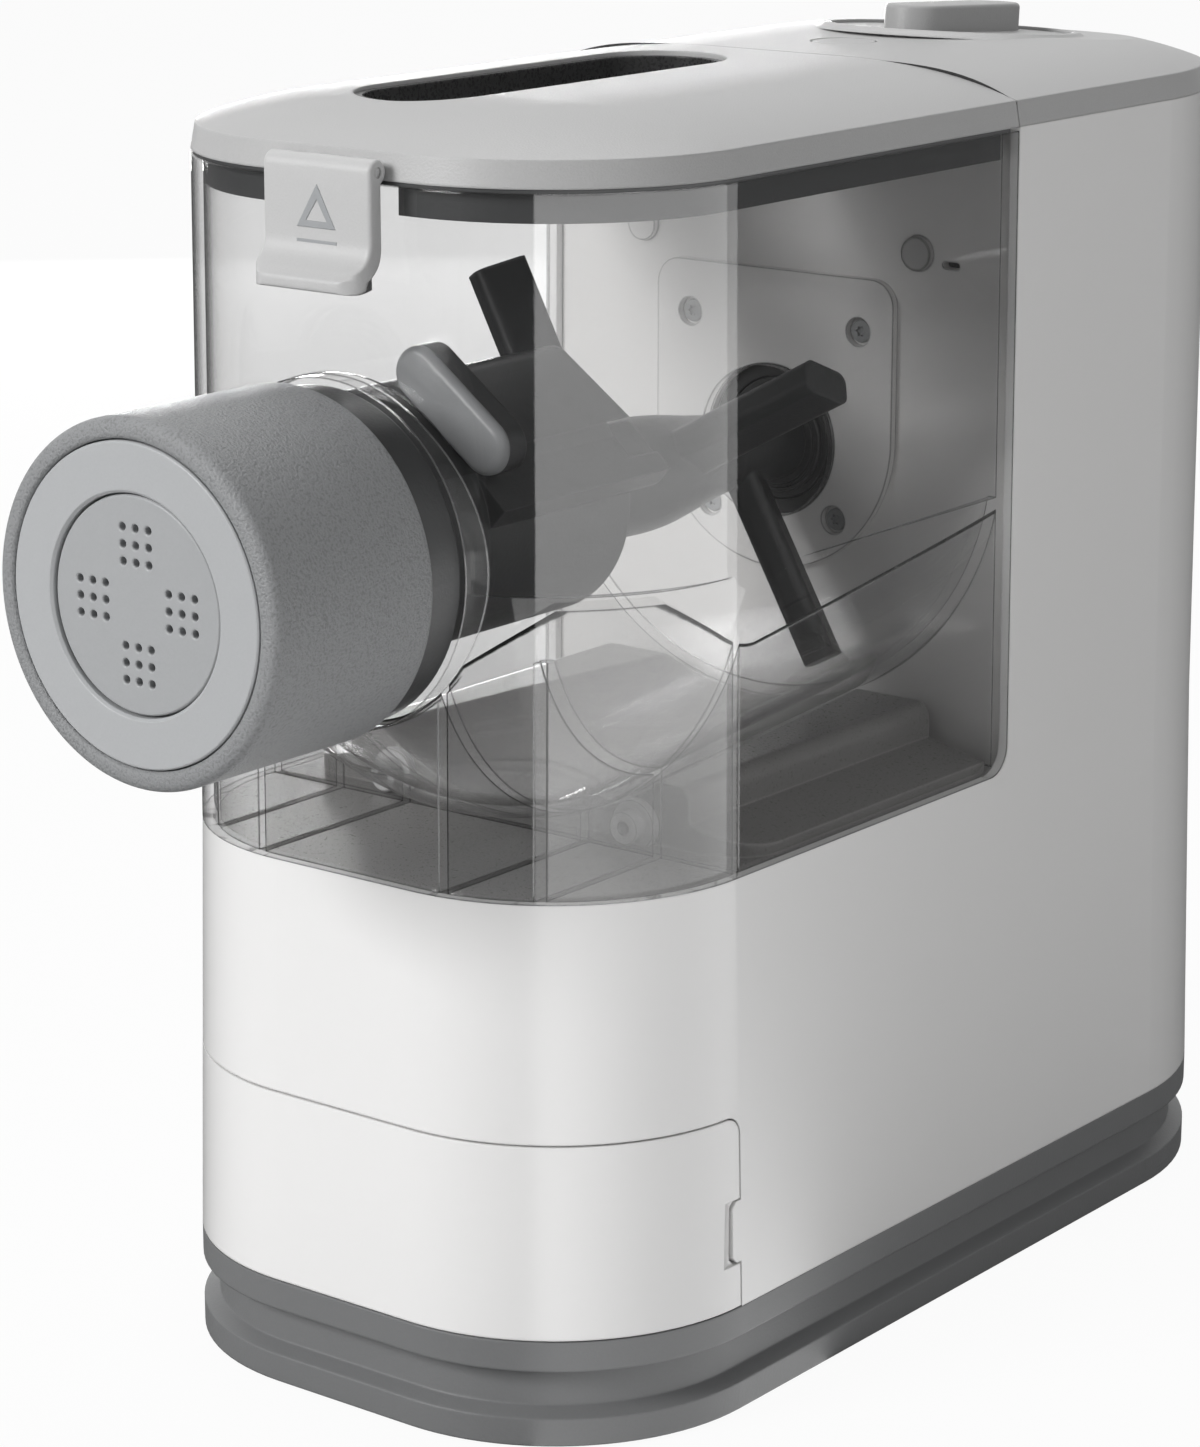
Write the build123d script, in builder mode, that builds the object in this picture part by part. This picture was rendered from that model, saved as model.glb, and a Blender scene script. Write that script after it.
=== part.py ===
from build123d import *
import os
from math import atan2, copysign, cos, degrees, pi, radians, sin, sqrt, tan

# Electric pasta maker: a grey base, a glossy white housing with a rear tower, a clear mixing tub in
# front of the tower, a crowned lid, a screw-on die nut at the nose and a storage drawer underneath.
# Millimetres, +Z up, the nose points to -Y. The origin is on the floor, under the middle of the
# whole machine. Every shaft of the drive is parallel to Y.

os.makedirs("parts", exist_ok=True)

# ---- plan of the body ----
body_width = 135.0
base_length = 276.6
front_corner = body_width / 2 - 18.5
rear_corner = body_width / 2 - 5.5
nose_reach = 55.9             # die nut face ahead of the base
rear_y = (base_length + nose_reach) / 2
front_y = rear_y - base_length
nose_y = front_y - nose_reach
centre_y = (front_y + rear_y) / 2

# ---- heights above the floor ----
foot_stand = 1.0              # rubber feet below the base
base_top_z = foot_stand + 23.0
rim_z = base_top_z + 92.8
axis_z = rim_z + 67.2
band_low_z = rim_z + 142.7
band_top_z = band_low_z + 5.5
crown_rise = 6.7
crown_z = band_top_z + crown_rise
rear_fall = 4.0               # degrees, the rear cover's top falls backwards
fall_start = 70.0             # from the rear, where it starts to fall

# ---- draft: how far the side stands inside the base outline ----
rim_inset = 2.2
band_inset = 3.2
crown_inset = 4.2
crown_power = 3.5             # how late the crown flattens towards the middle
crown_shares = (0.0, 0.025, 0.06, 0.12, 0.21, 0.33, 0.48, 0.66)
least_corner = 0.5            # tightest round of an outline moved far inwards

# ---- walls and fits ----
wall = 2.6
tub_wall = 2.5
shut_gap = 0.4                # seam between neighbouring covers
slide_gap = 0.3
running_gap = 0.08

# ---- base ----
flange_height = 6.0
ledge_rise = 1.7
ledge_inset = 3.5
groove_inset = 4.5
base_band_height = 6.5        # grey band directly under the white housing
base_floor = 3.0
base_wall = 3.0
foot_radius = 8.0
foot_thickness = 3.0
foot_x = 40.0
foot_end_offset = 44.0
vent_length = 34.0
vent_width = 3.2
vent_pitch = 8.0
vent_count = 5
post_radius = 4.2
post_top = 58.0
screw_shank = 1.5
screw_head = 3.2
screw_head_height = 2.4
front_post = (57.0, 62.0)     # from the middle, behind the base front
rear_post = (49.0, base_length - 35.6)

# ---- drawer ----
drawer_top_height = 65.0
drawer_wrap = 49.1            # how far its front wraps back along the sides
drawer_corner = 4.0
grip_low = 32.7
grip_high = 47.0
grip_tab = 2.9
grip_chamfer = 1.3
grip_scoop = 2.9
scoop_depth = 1.1
drawer_web_offset = 14.0
tray_half_width = 48.0
tray_wall = 2.0
tray_height = 33.0
tray_length = 150.0
runner_x = 34.0
runner_width = 4.0
spare_disc_pitch = 49.0

# ---- window between housing, tub and tower ----
window_length = 151.3
window_corner = 6.5
panel_step = 2.0
panel_thickness = 2.6
seam_y = front_y + window_length
panel_y = seam_y + panel_step
tub_rear_y = seam_y - shut_gap
case_front_y = panel_y + panel_thickness

# ---- deck under the tub ----
deck_thickness = 2.5
deck_front_offset = 58.5      # raised floor behind the tub's cross wall
deck_side_inset = 6.3
deck_rise = 5.8
deck_fall = 3.4               # its outer edge lies lower
deck_corner = 12.0
shoulder_x = 46.4
shoulder_rise = 13.7
shoulder_round = 3.5
saddle_gap = 0.5              # under the round drum
nozzle_x = 33.0
nozzle_rise = 3.9
nozzle_boss = (5.4, 2.0)      # radius, length
nozzle_radius = 3.5
nozzle_length = 5.2
nozzle_bore = 1.4

# ---- clear tub ----
skin_gap = 0.8                # dark gasket line between tub and lid
drum_y = front_y + 58.3
dome_centre_r = 6.0
dome_radius = 61.0
drum_radius = 65.5
drum_rear_radius = 63.5
drum_rear_rise = 4.8
ledge_drop = 5.0
rib_places = (24.5, 43.5)
rib_thickness = 2.0
rib_height = 49.2
bulkhead_y = front_y + 51.3
tub_hub_radius = 36.0
tub_hub_y = front_y - 0.7
tub_hub_depth = 7.0

# ---- drive plate on the tower panel ----
plate_half_width = 32.5
plate_top_rise = 39.0
plate_foot_drop = 29.4
plate_corner = 6.0
plate_thickness = 1.9
drive_hole = 17.34
plate_screw_places = ((23.2, 27.0), (-23.2, 27.0), (17.2, -16.5), (-17.2, -16.5))

# ---- extruder ----
bore_radius = 20.0
barrel_radius = 24.5
thread_radius = 32.9
thread_width = 10.0
thread_offset = 14.0
collar_radius = 34.5
neck_radius = 27.0
tube_skin = 2.6
trough_radius = 25.9
trough_rise = 2.8
trough_rear_y = front_y + 64.8
hood_rear_y = front_y + 72.3
hood_ridge_rise = 33.5
hood_rim_x = 20.0
hood_rim_rise = 19.5
ridge_round = 5.0
wing_front_y = front_y + 19.3
wing_rear_y = front_y + 73.8
wing_root = (20.5, 18.0)
wing_tip = (29.5, 9.5)
wing_heel = (25.3, 5.0)
lug_top = (7.2, 34.6)
lug_low = (24.2, 21.8)
lug_half_width = 5.75
lug_face_y = front_y + 18.3
lug_depth = 7.5
lug_face_thickness = 2.2

# ---- die nut, face ring and shaping discs ----
nut_radius = 36.4
nut_length = 45.2
nut_bore = thread_radius + running_gap
nut_edge = 1.6
ring_radius = 32.05
ring_opening = 21.84
ring_thickness = 3.4
ring_shoulder = 3.0
ring_shoulder_radius = 28.5
disc_radius = 23.6
disc_boss_radius = 21.4
disc_thickness = 4.0
disc_recess = 0.9
die_cluster_radius = 11.6
die_hole_pitch = 3.35
die_hole_radius = 0.8
nut_rear_y = nose_y + nut_length
disc_back_y = nose_y + ring_thickness + disc_thickness

# ---- stirring rod and extrusion screw ----
hub_profile = ((64.0, 10.4), (72.0, 11.6), (92.0, 12.5), (102.0, 12.6), (113.0, 11.3), (123.0, 9.7),
               (130.0, 8.9))
shaft_radius = 8.9
arm_reach = 51.5
arm_width = 12.5
arm_thickness = 7.6
arm_round = 2.4
arm_twist = -62.0
arm_places = ((82.9, 118.0), (107.6, 28.5), (136.1, -60.0))
screw_core_radius = 9.0
screw_radius = bore_radius - 0.5
screw_pitch = 22.0
flight_thickness = 3.2
flight_root = 0.6
screw_rear_y = front_y + 66.0
tang_radius = 5.0
tang_length = 9.0

# ---- gear train ----
gear_module = 1.5
output_teeth = 44
idler_pinion_teeth = 12
idler_wheel_teeth = 38
motor_pinion_teeth = 10
wide_gear = 9.0
narrow_gear = 6.0
gear_gap = 3.0
gear_side = 1.5
tooth_thin = 0.42             # backlash taken off each tooth
idler_z = axis_z - gear_module * (output_teeth + idler_pinion_teeth) / 2
motor_z = idler_z - gear_module * (idler_wheel_teeth + motor_pinion_teeth) / 2
case_wall = 2.4
case_clear = 3.2
coupling_radius = 13.9
coupling_length = 2.0
drive_shaft_radius = 8.5
drive_journal_radius = 5.0
bush_wall = 3.0
idler_pin_radius = 3.0
motor_shaft_radius = 2.5
motor_radius = 32.0
motor_room = 30.9             # behind the motor, for the fan and the housing's rear
motor_wall = 2.0
rotor_radius = 22.0
rotor_end_gap = 8.0
fan_radius = 24.0
fan_hub_radius = 7.0
fan_blades = 7
fan_width = 7.0
cradle_half_width = 22.0
cradle_thickness = 4.0
output_gear_y = case_front_y + case_wall + gear_side
wheel_y = output_gear_y + wide_gear + gear_gap
cover_y = wheel_y + narrow_gear + gear_side
motor_y = cover_y + case_wall
motor_length = rear_y - motor_y - motor_room

# ---- lid ----
skirt_drop = 6.1
skirt_thickness = 2.0
latch_break = 14.2
liner_thickness = 2.0
slot_x = -12.0
slot_half_width = 16.0
slot_length = 107.0
slot_y = front_y + 31.3 + slot_length / 2
slot_frame_wall = 1.8
slot_sink = 1.2
grille_bar = 1.6
grille_height = 3.0
grille_count = 4

# ---- latch ----
latch_half_width = 13.9
latch_back = 1.7              # back of the plate ahead of the band
latch_thickness = 3.7
latch_pin_radius = 1.0
latch_pin_z = band_low_z + 1.9
latch_barrel = 2.4
latch_shoulder = 2.7
latch_straight_end = band_low_z - 14.0
latch_tongue_z = band_low_z - 18.5
latch_tongue_low = band_low_z - 21.3
latch_heel_z = band_low_z - 17.0
latch_tongue_out = 5.5
latch_plan_corner = 5.0
lug_plate_width = 3.4
lug_plate_x = 6.0
lug_plate_radius = 1.8

# ---- controls on the rear cover ----
knob_y = rear_y - 54.3
knob_radius = 28.1
knob_rim_radius = 29.7
knob_flare = 2.4
knob_rim_rise = 0.7
knob_well_depth = 2.4
knob_boss_depth = 5.2
grip_length = 46.0
grip_width = 14.0
grip_rise = 6.2
grip_lean = 0.8               # degrees, its top rises backwards from the disc
knob_shaft_radius = 3.0
button_y = seam_y + 26.4
button_radius = 7.2
button_thickness = 4.0
button_sink = 0.2
button_stem_radius = 2.5
button_travel = 1.2
board_drop = 19.0
board_thickness = 1.6
board_half_width = 40.0
board_front_y = seam_y + 14.0
board_length = rear_y - board_front_y - 27.3
board_post_radius = 3.2
switch_half_width = 8.0
switch_height = 9.0
tact_half_width = 3.5
tact_height = 4.0
board_z = crown_z - board_drop
fall_plane = Plane(origin=(0, rear_y - fall_start, crown_z), x_dir=(1, 0, 0),
                   z_dir=(0, sin(radians(rear_fall)), cos(radians(rear_fall))))

# ---- interlock and inlet ----
interlock_x = body_width / 2 - 29.8
interlock_rise = 45.7
interlock_radius = 3.8
interlock_travel = 1.0
interlock_flange = 1.4
interlock_flange_width = 1.2
interlock_box = (18.0, 10.0, 12.0)
sight_hole_x = interlock_x + 8.5
sight_hole_rise = 43.7
inlet_width = 26.0
inlet_height = 18.0
inlet_z = 48.0
inlet_depth = 18.0
inlet_flange = 2.5
inlet_pin_radius = 1.25


# ---------------------------------------------------------------- shared shapes
def plan_outline(inset):
    """Rounded outline of the body, moved inwards by inset."""
    with BuildSketch() as outline:
        with Locations((0, centre_y)):
            Rectangle(body_width - 2 * inset, base_length - 2 * inset)
        fillet(outline.vertices().group_by(Axis.Y)[0], radius=max(front_corner - inset, least_corner))
        fillet(outline.vertices().group_by(Axis.Y)[-1], radius=max(rear_corner - inset, least_corner))
    return outline.sketch


def drafted_block(low_z, low_inset, high_z, high_inset):
    """Solid block over the body outline whose sides lean inwards."""
    rise = high_z - low_z
    with BuildPart() as block:
        with BuildSketch(Plane.XY.offset(low_z)):
            add(plan_outline(low_inset))
        extrude(amount=rise, taper=degrees(atan2(high_inset - low_inset, rise)))
    return block.part


def housing_block(inward):
    """The housing's full-height body, its side moved inwards."""
    with BuildPart() as block:
        add(drafted_block(base_top_z, inward, rim_z, rim_inset + inward))
        add(drafted_block(rim_z, rim_inset + inward, band_low_z, band_inset + inward))
    return block.part


def crowned_block(inward, drop):
    """Band and crowned top shared by the lid and the rear cover, moved in and down."""
    top = band_top_z - drop
    half_width = body_width / 2 - crown_inset
    with BuildPart() as block:
        add(drafted_block(band_low_z, band_inset + inward, top, crown_inset + inward))
        for share in crown_shares:
            rise = crown_rise * (1 - (1 - share) ** crown_power)
            with BuildSketch(Plane.XY.offset(top + rise)):
                add(plan_outline(crown_inset + inward * (1 - share) + share * half_width))
        loft()
    return block.part


def below_fall(solid, drop):
    """The solid below the plane in which the rear cover's top falls backwards, moved down by drop."""
    with BuildPart() as lowered:
        add(solid)
        split(bisect_by=fall_plane.offset(-drop), keep=Keep.BOTTOM)
    return lowered.part


def slab(low_y, high_y, low_z, high_z, half_width=body_width):
    """Cross-wise slab used to keep or remove a stretch of a cover."""
    with BuildPart() as block:
        with Locations((0, (low_y + high_y) / 2, (low_z + high_z) / 2)):
            Box(2 * half_width, high_y - low_y, high_z - low_z)
    return block.part


def disc_y(radius, low_y, high_y, height=axis_z, bore=0.0, x=0.0):
    """Round bar or ring about an axis parallel to Y."""
    with BuildPart() as bar:
        with BuildSketch(Plane.XZ.offset(-low_y)):
            with Locations((x, height)):
                Circle(radius)
                if bore > 0:
                    Circle(bore, mode=Mode.SUBTRACT)
        extrude(amount=low_y - high_y)
    return bar.part


def spur_gear(teeth, low_y, width, height, bore, turn):
    """Spur gear about an axis parallel to Y, with a tooth centred at the angle turn."""
    pitch_radius = gear_module * teeth / 2
    root = pitch_radius - 1.2 * gear_module
    tip = pitch_radius + 0.9 * gear_module
    foot = root * 0.95
    flank = tan(radians(20))
    half_pitch = (gear_module * pi / 2 - tooth_thin) / 2
    half_foot = half_pitch + (pitch_radius - foot) * flank * 0.7
    half_tip = half_pitch - (tip - pitch_radius) * flank
    with BuildPart() as gear:
        with BuildSketch(Plane.XZ.offset(-low_y)):
            with Locations((0, height)):
                Circle(root)
                with PolarLocations(0, teeth, start_angle=turn):
                    Polygon((foot, -half_foot), (tip, -half_tip), (tip, half_tip), (foot, half_foot),
                            align=None)
                Circle(bore, mode=Mode.SUBTRACT)
        extrude(amount=-width)
    return gear.part


def drawer_profile(grow):
    """Side view of the drawer front with its finger notch, grown by the shut gap."""
    back = front_y + drawer_wrap + grow
    low = base_top_z + slide_gap - grow
    high = foot_stand + drawer_top_height + grow
    tab = back - grip_tab
    notch_low = foot_stand + grip_low + grow
    notch_high = foot_stand + grip_high - grow
    ahead = front_y - wall
    with BuildPart() as profile:
        with BuildSketch(Plane.YZ.offset(-body_width)) as side:
            with BuildLine():
                Polyline((ahead, low), (back, low), (back, notch_low),
                         (tab + grip_chamfer, notch_low), (tab, notch_low + grip_chamfer),
                         (tab, notch_high - grip_chamfer), (tab + grip_chamfer, notch_high),
                         (back, notch_high), (back, high), (ahead, high), close=True)
            make_face()
            fillet(side.vertices().group_by(Axis.Y)[-1].sort_by(Axis.X)[-1],
                   radius=drawer_corner + grow)
        extrude(amount=2 * body_width)
    return profile.part


def hood_outline(skin):
    """Section of the extruder hood: a trough below and a roof above, moved inwards by skin."""
    low_z = axis_z + trough_rise
    rim = (hood_rim_x, axis_z + hood_rim_rise)
    apex = (0, axis_z + hood_ridge_rise)
    with BuildSketch(Plane.XZ) as section:
        with BuildSketch(Plane.XZ, mode=Mode.PRIVATE) as roof:
            with BuildLine():
                Polyline((-rim[0], rim[1]), apex, rim, (0, low_z), close=True)
            make_face()
            fillet(roof.vertices().sort_by(Axis.Y)[-1], radius=ridge_round)
        with Locations((0, low_z)):
            Circle(trough_radius)
        with Locations((0, rim[1] + trough_radius / 2)):
            Rectangle(2 * trough_radius, trough_radius, mode=Mode.SUBTRACT)
        add(roof.sketch_local)
        if skin > 0:
            offset(amount=-skin, kind=Kind.INTERSECTION)
    return section.sketch_local


def disc_solid(back_y, holes):
    """Shaping disc with its boss towards the nose; holes lists (x, rise, radius)."""
    with BuildPart() as disc:
        add(disc_y(disc_radius, back_y - disc_thickness, back_y))
        add(disc_y(disc_boss_radius, back_y - disc_thickness - ring_thickness + disc_recess, back_y))
        with BuildSketch(Plane.XZ.offset(-back_y)):
            for x, rise, radius in holes:
                with Locations((x, axis_z + rise)):
                    Circle(radius)
        extrude(amount=disc_thickness + ring_thickness, mode=Mode.SUBTRACT)
    return disc.part


def finish(part, name):
    """Name a piece and write it out."""
    part.label = name
    export_step(part, f"parts/{name}.step")


def window_block(gap, top):
    """Space in front of the tower and above the deck, with a rounded lower rear corner."""
    with BuildPart() as window:
        add(slab(nose_y, seam_y - gap, rim_z, top))
        fillet(window.edges().filter_by(Axis.X).group_by(Axis.Y)[-1].sort_by(Axis.Z)[0],
               radius=window_corner)
    return window.part


def inner_room(inward, rear, low, high):
    """The housing's inside between two levels, from the front back to rear."""
    with BuildPart() as room:
        add(housing_block(inward))
        add(slab(nose_y, rear, low, high), mode=Mode.INTERSECT)
    return room.part


def drum_solid(skin):
    """Round mixing drum with its domed front, moved inwards by skin."""
    with BuildPart() as drum:
        with BuildSketch(Plane.XZ.offset(-drum_y)):
            with Locations((0, axis_z)):
                Circle(drum_radius - skin)
        with BuildSketch(Plane.XZ.offset(-tub_rear_y)):
            with Locations((0, axis_z + drum_rear_rise)):
                Circle(drum_rear_radius - skin)
        loft()
        with BuildSketch(Plane.YZ):
            with BuildLine():
                arc = CenterArc((drum_y, axis_z + dome_centre_r), drum_radius - dome_centre_r - skin,
                                90, 90)
                Polyline(arc @ 1, ((arc @ 1).X, axis_z), (drum_y, axis_z), arc @ 0)
            make_face()
        revolve(axis=Axis((0, 0, axis_z), (0, 1, 0)))
    return drum.part


# ---------------------------------------------------------------- base
posts = [(side * x, front_y + offset) for x, offset in (front_post, rear_post) for side in (-1, 1)]
foot_places = [(side * foot_x, y) for side in (-1, 1)
               for y in (front_y + foot_end_offset, rear_y - foot_end_offset)]
floor_top = foot_stand + base_floor

with BuildPart() as base_tray:
    groove_low = foot_stand + flange_height + ledge_rise
    groove_high = base_top_z - base_band_height
    add(drafted_block(foot_stand, 0, foot_stand + flange_height, 0))
    with BuildSketch(Plane.XY.offset(foot_stand + flange_height)):
        add(plan_outline(0))
    with BuildSketch(Plane.XY.offset(groove_low)):
        add(plan_outline(ledge_inset))
    loft()
    add(drafted_block(groove_low, ledge_inset, groove_high, groove_inset))
    add(drafted_block(groove_high, 0, base_top_z, 0))
    add(drafted_block(floor_top, groove_inset + base_wall, base_top_z, groove_inset + base_wall),
        mode=Mode.SUBTRACT)
    runner_front = front_y + drawer_web_offset + wall
    with Locations(*[(side * runner_x, runner_front + tray_length / 2,
                      (floor_top + base_top_z + slide_gap) / 2) for side in (-1, 1)]):
        Box(runner_width, tray_length, base_top_z + slide_gap - floor_top)
    with BuildSketch(Plane.XY.offset(floor_top)):
        with Locations(*posts):
            Circle(post_radius)
    extrude(amount=base_top_z - floor_top)
    with BuildSketch(Plane.XY.offset(foot_stand)):
        with Locations(*foot_places):
            Circle(foot_radius)
    extrude(amount=foot_thickness - foot_stand, mode=Mode.SUBTRACT)
    with BuildSketch(Plane.XY.offset(foot_stand)):
        with Locations(*posts):
            Circle(screw_shank)
        with Locations((0, rear_y / 2)):
            with GridLocations(0, vent_pitch, 1, vent_count):
                SlotOverall(vent_length, vent_width)
    extrude(amount=base_top_z - foot_stand, mode=Mode.SUBTRACT)
    with BuildSketch(Plane.XY.offset(foot_stand)):
        with Locations(*posts):
            Circle(screw_head)
    extrude(amount=screw_head_height, mode=Mode.SUBTRACT)
finish(base_tray.part, "base_tray")

with BuildPart() as rubber_feet:
    with BuildSketch():
        with Locations(*foot_places):
            Circle(foot_radius)
    extrude(amount=foot_thickness)
finish(rubber_feet.part, "rubber_feet")

with BuildPart() as base_screws:
    with BuildSketch(Plane.XY.offset(foot_stand)):
        with Locations(*posts):
            Circle(screw_head)
    extrude(amount=screw_head_height)
    with BuildSketch(Plane.XY.offset(foot_stand)):
        with Locations(*posts):
            Circle(screw_shank)
    extrude(amount=post_top - screw_head_height - foot_stand)
finish(base_screws.part, "base_screws")

# ---------------------------------------------------------------- housing
with BuildPart() as housing_posts:
    with BuildSketch(Plane.XY.offset(base_top_z)):
        with Locations(*posts):
            Circle(post_radius)
        for x, y in posts:
            side_x = copysign(body_width / 2, x)
            with Locations(((x + side_x) / 2, y)):
                Rectangle(abs(side_x - x), wall)
    extrude(amount=post_top - base_top_z)
    add(housing_block(wall / 2), mode=Mode.INTERSECT)
    with BuildSketch(Plane.XY.offset(base_top_z)):
        with Locations(*posts):
            Circle(screw_shank)
    extrude(amount=post_top - base_top_z, mode=Mode.SUBTRACT)

with BuildPart() as body_shell:
    add(housing_block(0))
    add(housing_block(wall), mode=Mode.SUBTRACT)
    add(window_block(0, band_low_z + wall), mode=Mode.SUBTRACT)
    add(drawer_profile(shut_gap), mode=Mode.SUBTRACT)
    add(housing_posts.part)
    with Locations((0, rear_y - wall, inlet_z)):
        Box(inlet_width, 3 * wall, inlet_height, mode=Mode.SUBTRACT)
finish(body_shell.part, "body_shell")

deck_front_y = front_y + deck_front_offset
deck_rear_y = tub_rear_y - tub_wall - slide_gap
deck_side = body_width / 2 - deck_side_inset


def deck_profile(inward, low_z):
    """Section of the raised floor with a shoulder along each side of the drum."""
    side_top = rim_z + deck_rise - deck_fall - inward
    floor_z = rim_z + deck_rise - inward
    shoulder_z = rim_z + shoulder_rise - inward
    side_x = deck_side - inward
    wall_x = shoulder_x - inward
    with BuildSketch(Plane.XZ) as section:
        with BuildLine():
            Polyline((-side_x, low_z), (-side_x, side_top), (-wall_x, floor_z), (-wall_x, shoulder_z),
                     (wall_x, shoulder_z), (wall_x, floor_z), (side_x, side_top), (side_x, low_z),
                     close=True)
        make_face()
        fillet(section.vertices().group_by(Axis.Y)[-1], radius=shoulder_round)
    return section.sketch_local


def raised_floor(inward, low_z, front, rear):
    """Raised floor behind the cross wall, clear of the drum that lies in it."""
    with BuildPart() as floor:
        with BuildSketch(Plane.XZ.offset(-front)):
            add(deck_profile(inward, low_z))
        extrude(amount=front - rear)
        with BuildSketch(Plane.XY.offset(low_z)) as plan:
            with Locations((0, (front + rear) / 2)):
                Rectangle(2 * (deck_side - inward), rear - front)
            fillet(plan.vertices().group_by(Axis.Y)[0], radius=deck_corner - inward)
        extrude(amount=shoulder_rise + deck_thickness, mode=Mode.INTERSECT)
        add(drum_solid(-saddle_gap - inward), mode=Mode.SUBTRACT)
    return floor.part


nozzle_places = [(side * nozzle_x, rim_z + nozzle_rise) for side in (-1, 1)]

with BuildPart() as deck_tray:
    add(inner_room(wall, panel_y, rim_z - deck_thickness, rim_z))
    add(raised_floor(0, rim_z - deck_thickness, deck_front_y, deck_rear_y))
    with BuildSketch(Plane.XZ.offset(-(deck_front_y + deck_thickness))):
        with Locations(*nozzle_places):
            Circle(nozzle_boss[0])
    extrude(amount=nozzle_boss[1] + deck_thickness)
    with BuildSketch(Plane.XZ.offset(-(deck_front_y + deck_thickness))):
        with Locations(*nozzle_places):
            Circle(nozzle_radius)
    extrude(amount=nozzle_length + deck_thickness)
    add(raised_floor(deck_thickness, rim_z - deck_thickness, deck_front_y + deck_thickness,
                     deck_rear_y - deck_thickness), mode=Mode.SUBTRACT)
    with BuildSketch(Plane.XZ.offset(-(deck_front_y + 2 * deck_thickness))):
        with Locations(*nozzle_places):
            Circle(nozzle_bore)
    extrude(amount=nozzle_length + 3 * deck_thickness, mode=Mode.SUBTRACT)
finish(deck_tray.part, "deck_tray")

with BuildPart() as power_inlet:
    with Locations((0, rear_y - inlet_depth / 2 - wall / 2, inlet_z)):
        Box(inlet_width, inlet_depth - wall, inlet_height)
    with Locations((0, rear_y - inlet_depth / 2, inlet_z)):
        Box(inlet_width - 2 * inlet_flange, inlet_depth - wall, inlet_height - 2 * inlet_flange,
            mode=Mode.SUBTRACT)
    with BuildSketch(Plane.XZ.offset(-(rear_y - inlet_depth))):
        with Locations((0, inlet_z)):
            with GridLocations(inlet_width / 3, 0, 2, 1):
                Circle(inlet_pin_radius)
    extrude(amount=-(inlet_depth - 2 * wall))
finish(power_inlet.part, "power_inlet")

# ---------------------------------------------------------------- drawer
drawer_low = base_top_z + slide_gap
web_y = front_y + drawer_web_offset

with BuildPart() as drawer_web:
    add(housing_block(wall))
    add(slab(web_y, web_y + wall, drawer_low, foot_stand + drawer_top_height), mode=Mode.INTERSECT)

with BuildPart() as drawer_front:
    add(housing_block(0))
    add(housing_block(wall), mode=Mode.SUBTRACT)
    add(drawer_profile(0), mode=Mode.INTERSECT)
    add(drawer_web.part)
    scoop_y = front_y + drawer_wrap - grip_tab
    with Locations(*[(side * (body_width / 2 + 2 * grip_scoop - scoop_depth), scoop_y,
                      foot_stand + (grip_low + grip_high) / 2) for side in (-1, 1)]):
        Cylinder(2 * grip_scoop, grip_high - grip_low, mode=Mode.SUBTRACT)
finish(drawer_front.part, "drawer_front")

with BuildPart() as drawer_tray:
    tray_y = web_y + wall + tray_length / 2
    with BuildSketch(Plane.XY.offset(drawer_low)):
        with Locations((0, tray_y)):
            Rectangle(2 * tray_half_width, tray_length)
    extrude(amount=tray_height)
    fillet(drawer_tray.edges().filter_by(Axis.Z), radius=3 * tray_wall)
    top = drawer_tray.faces().sort_by(Axis.Z)[-1]
    offset(amount=-tray_wall, openings=top)
finish(drawer_tray.part, "drawer_tray")

dough_shapes = {
    "spaghetti": [(x * die_hole_pitch * 2, z * die_hole_pitch * 2, 2 * die_hole_radius)
                  for x in (-2, -1, 0, 1, 2) for z in (-2, -1, 0, 1, 2) if abs(x) + abs(z) < 4],
    "penne": [(die_cluster_radius * cos(radians(turn)), die_cluster_radius * sin(radians(turn)),
               4 * die_hole_radius) for turn in (30, 90, 150, 210, 270, 330)],
    "macaroni": [(die_cluster_radius * cos(radians(turn)), die_cluster_radius * sin(radians(turn)),
                  3 * die_hole_radius) for turn in range(0, 360, 45)],
}
for place, (shape, holes) in enumerate(dough_shapes.items()):
    flat = disc_solid(0, holes)
    with BuildPart() as spare_disc:
        with Locations((0, tray_y + (place - 1) * spare_disc_pitch, drawer_low + tray_wall)):
            add(flat.translate((0, 0, -axis_z)), rotation=(-90, 0, 0))
    finish(spare_disc.part, f"spare_disc_{shape}")

# ---------------------------------------------------------------- clear tub
tub_top_z = band_low_z - skin_gap
ledge_z = axis_z - ledge_drop

with BuildPart() as tub_floor:
    add(drum_solid(0))
    with Locations((0, bulkhead_y + rib_thickness / 2, rim_z + rib_height / 2)):
        Box(body_width, rib_thickness, rib_height)
    with Locations(*[(side * x, (front_y + bulkhead_y) / 2, rim_z + rib_height / 2)
                     for x in rib_places for side in (-1, 1)]):
        Box(rib_thickness, bulkhead_y - front_y, rib_height)
    add(slab(front_y, tub_rear_y, ledge_z - tub_wall, ledge_z))
    add(inner_room(tub_wall, tub_rear_y - tub_wall, rim_z, ledge_z), mode=Mode.INTERSECT)
    add(drum_solid(tub_wall), mode=Mode.SUBTRACT)

with BuildPart() as mixing_tub:
    add(window_block(shut_gap, tub_top_z))
    add(housing_block(0), mode=Mode.INTERSECT)
    add(inner_room(tub_wall, tub_rear_y - tub_wall, rim_z, tub_top_z), mode=Mode.SUBTRACT)
    add(tub_floor.part)
    add(disc_y(tub_hub_radius, tub_hub_y, tub_hub_y + tub_hub_depth))
    add(disc_y(neck_radius, tub_hub_y, drum_y), mode=Mode.SUBTRACT)
    add(disc_y(drive_hole, tub_rear_y - 2 * tub_wall, tub_rear_y), mode=Mode.SUBTRACT)
finish(mixing_tub.part, "mixing_tub")

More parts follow.
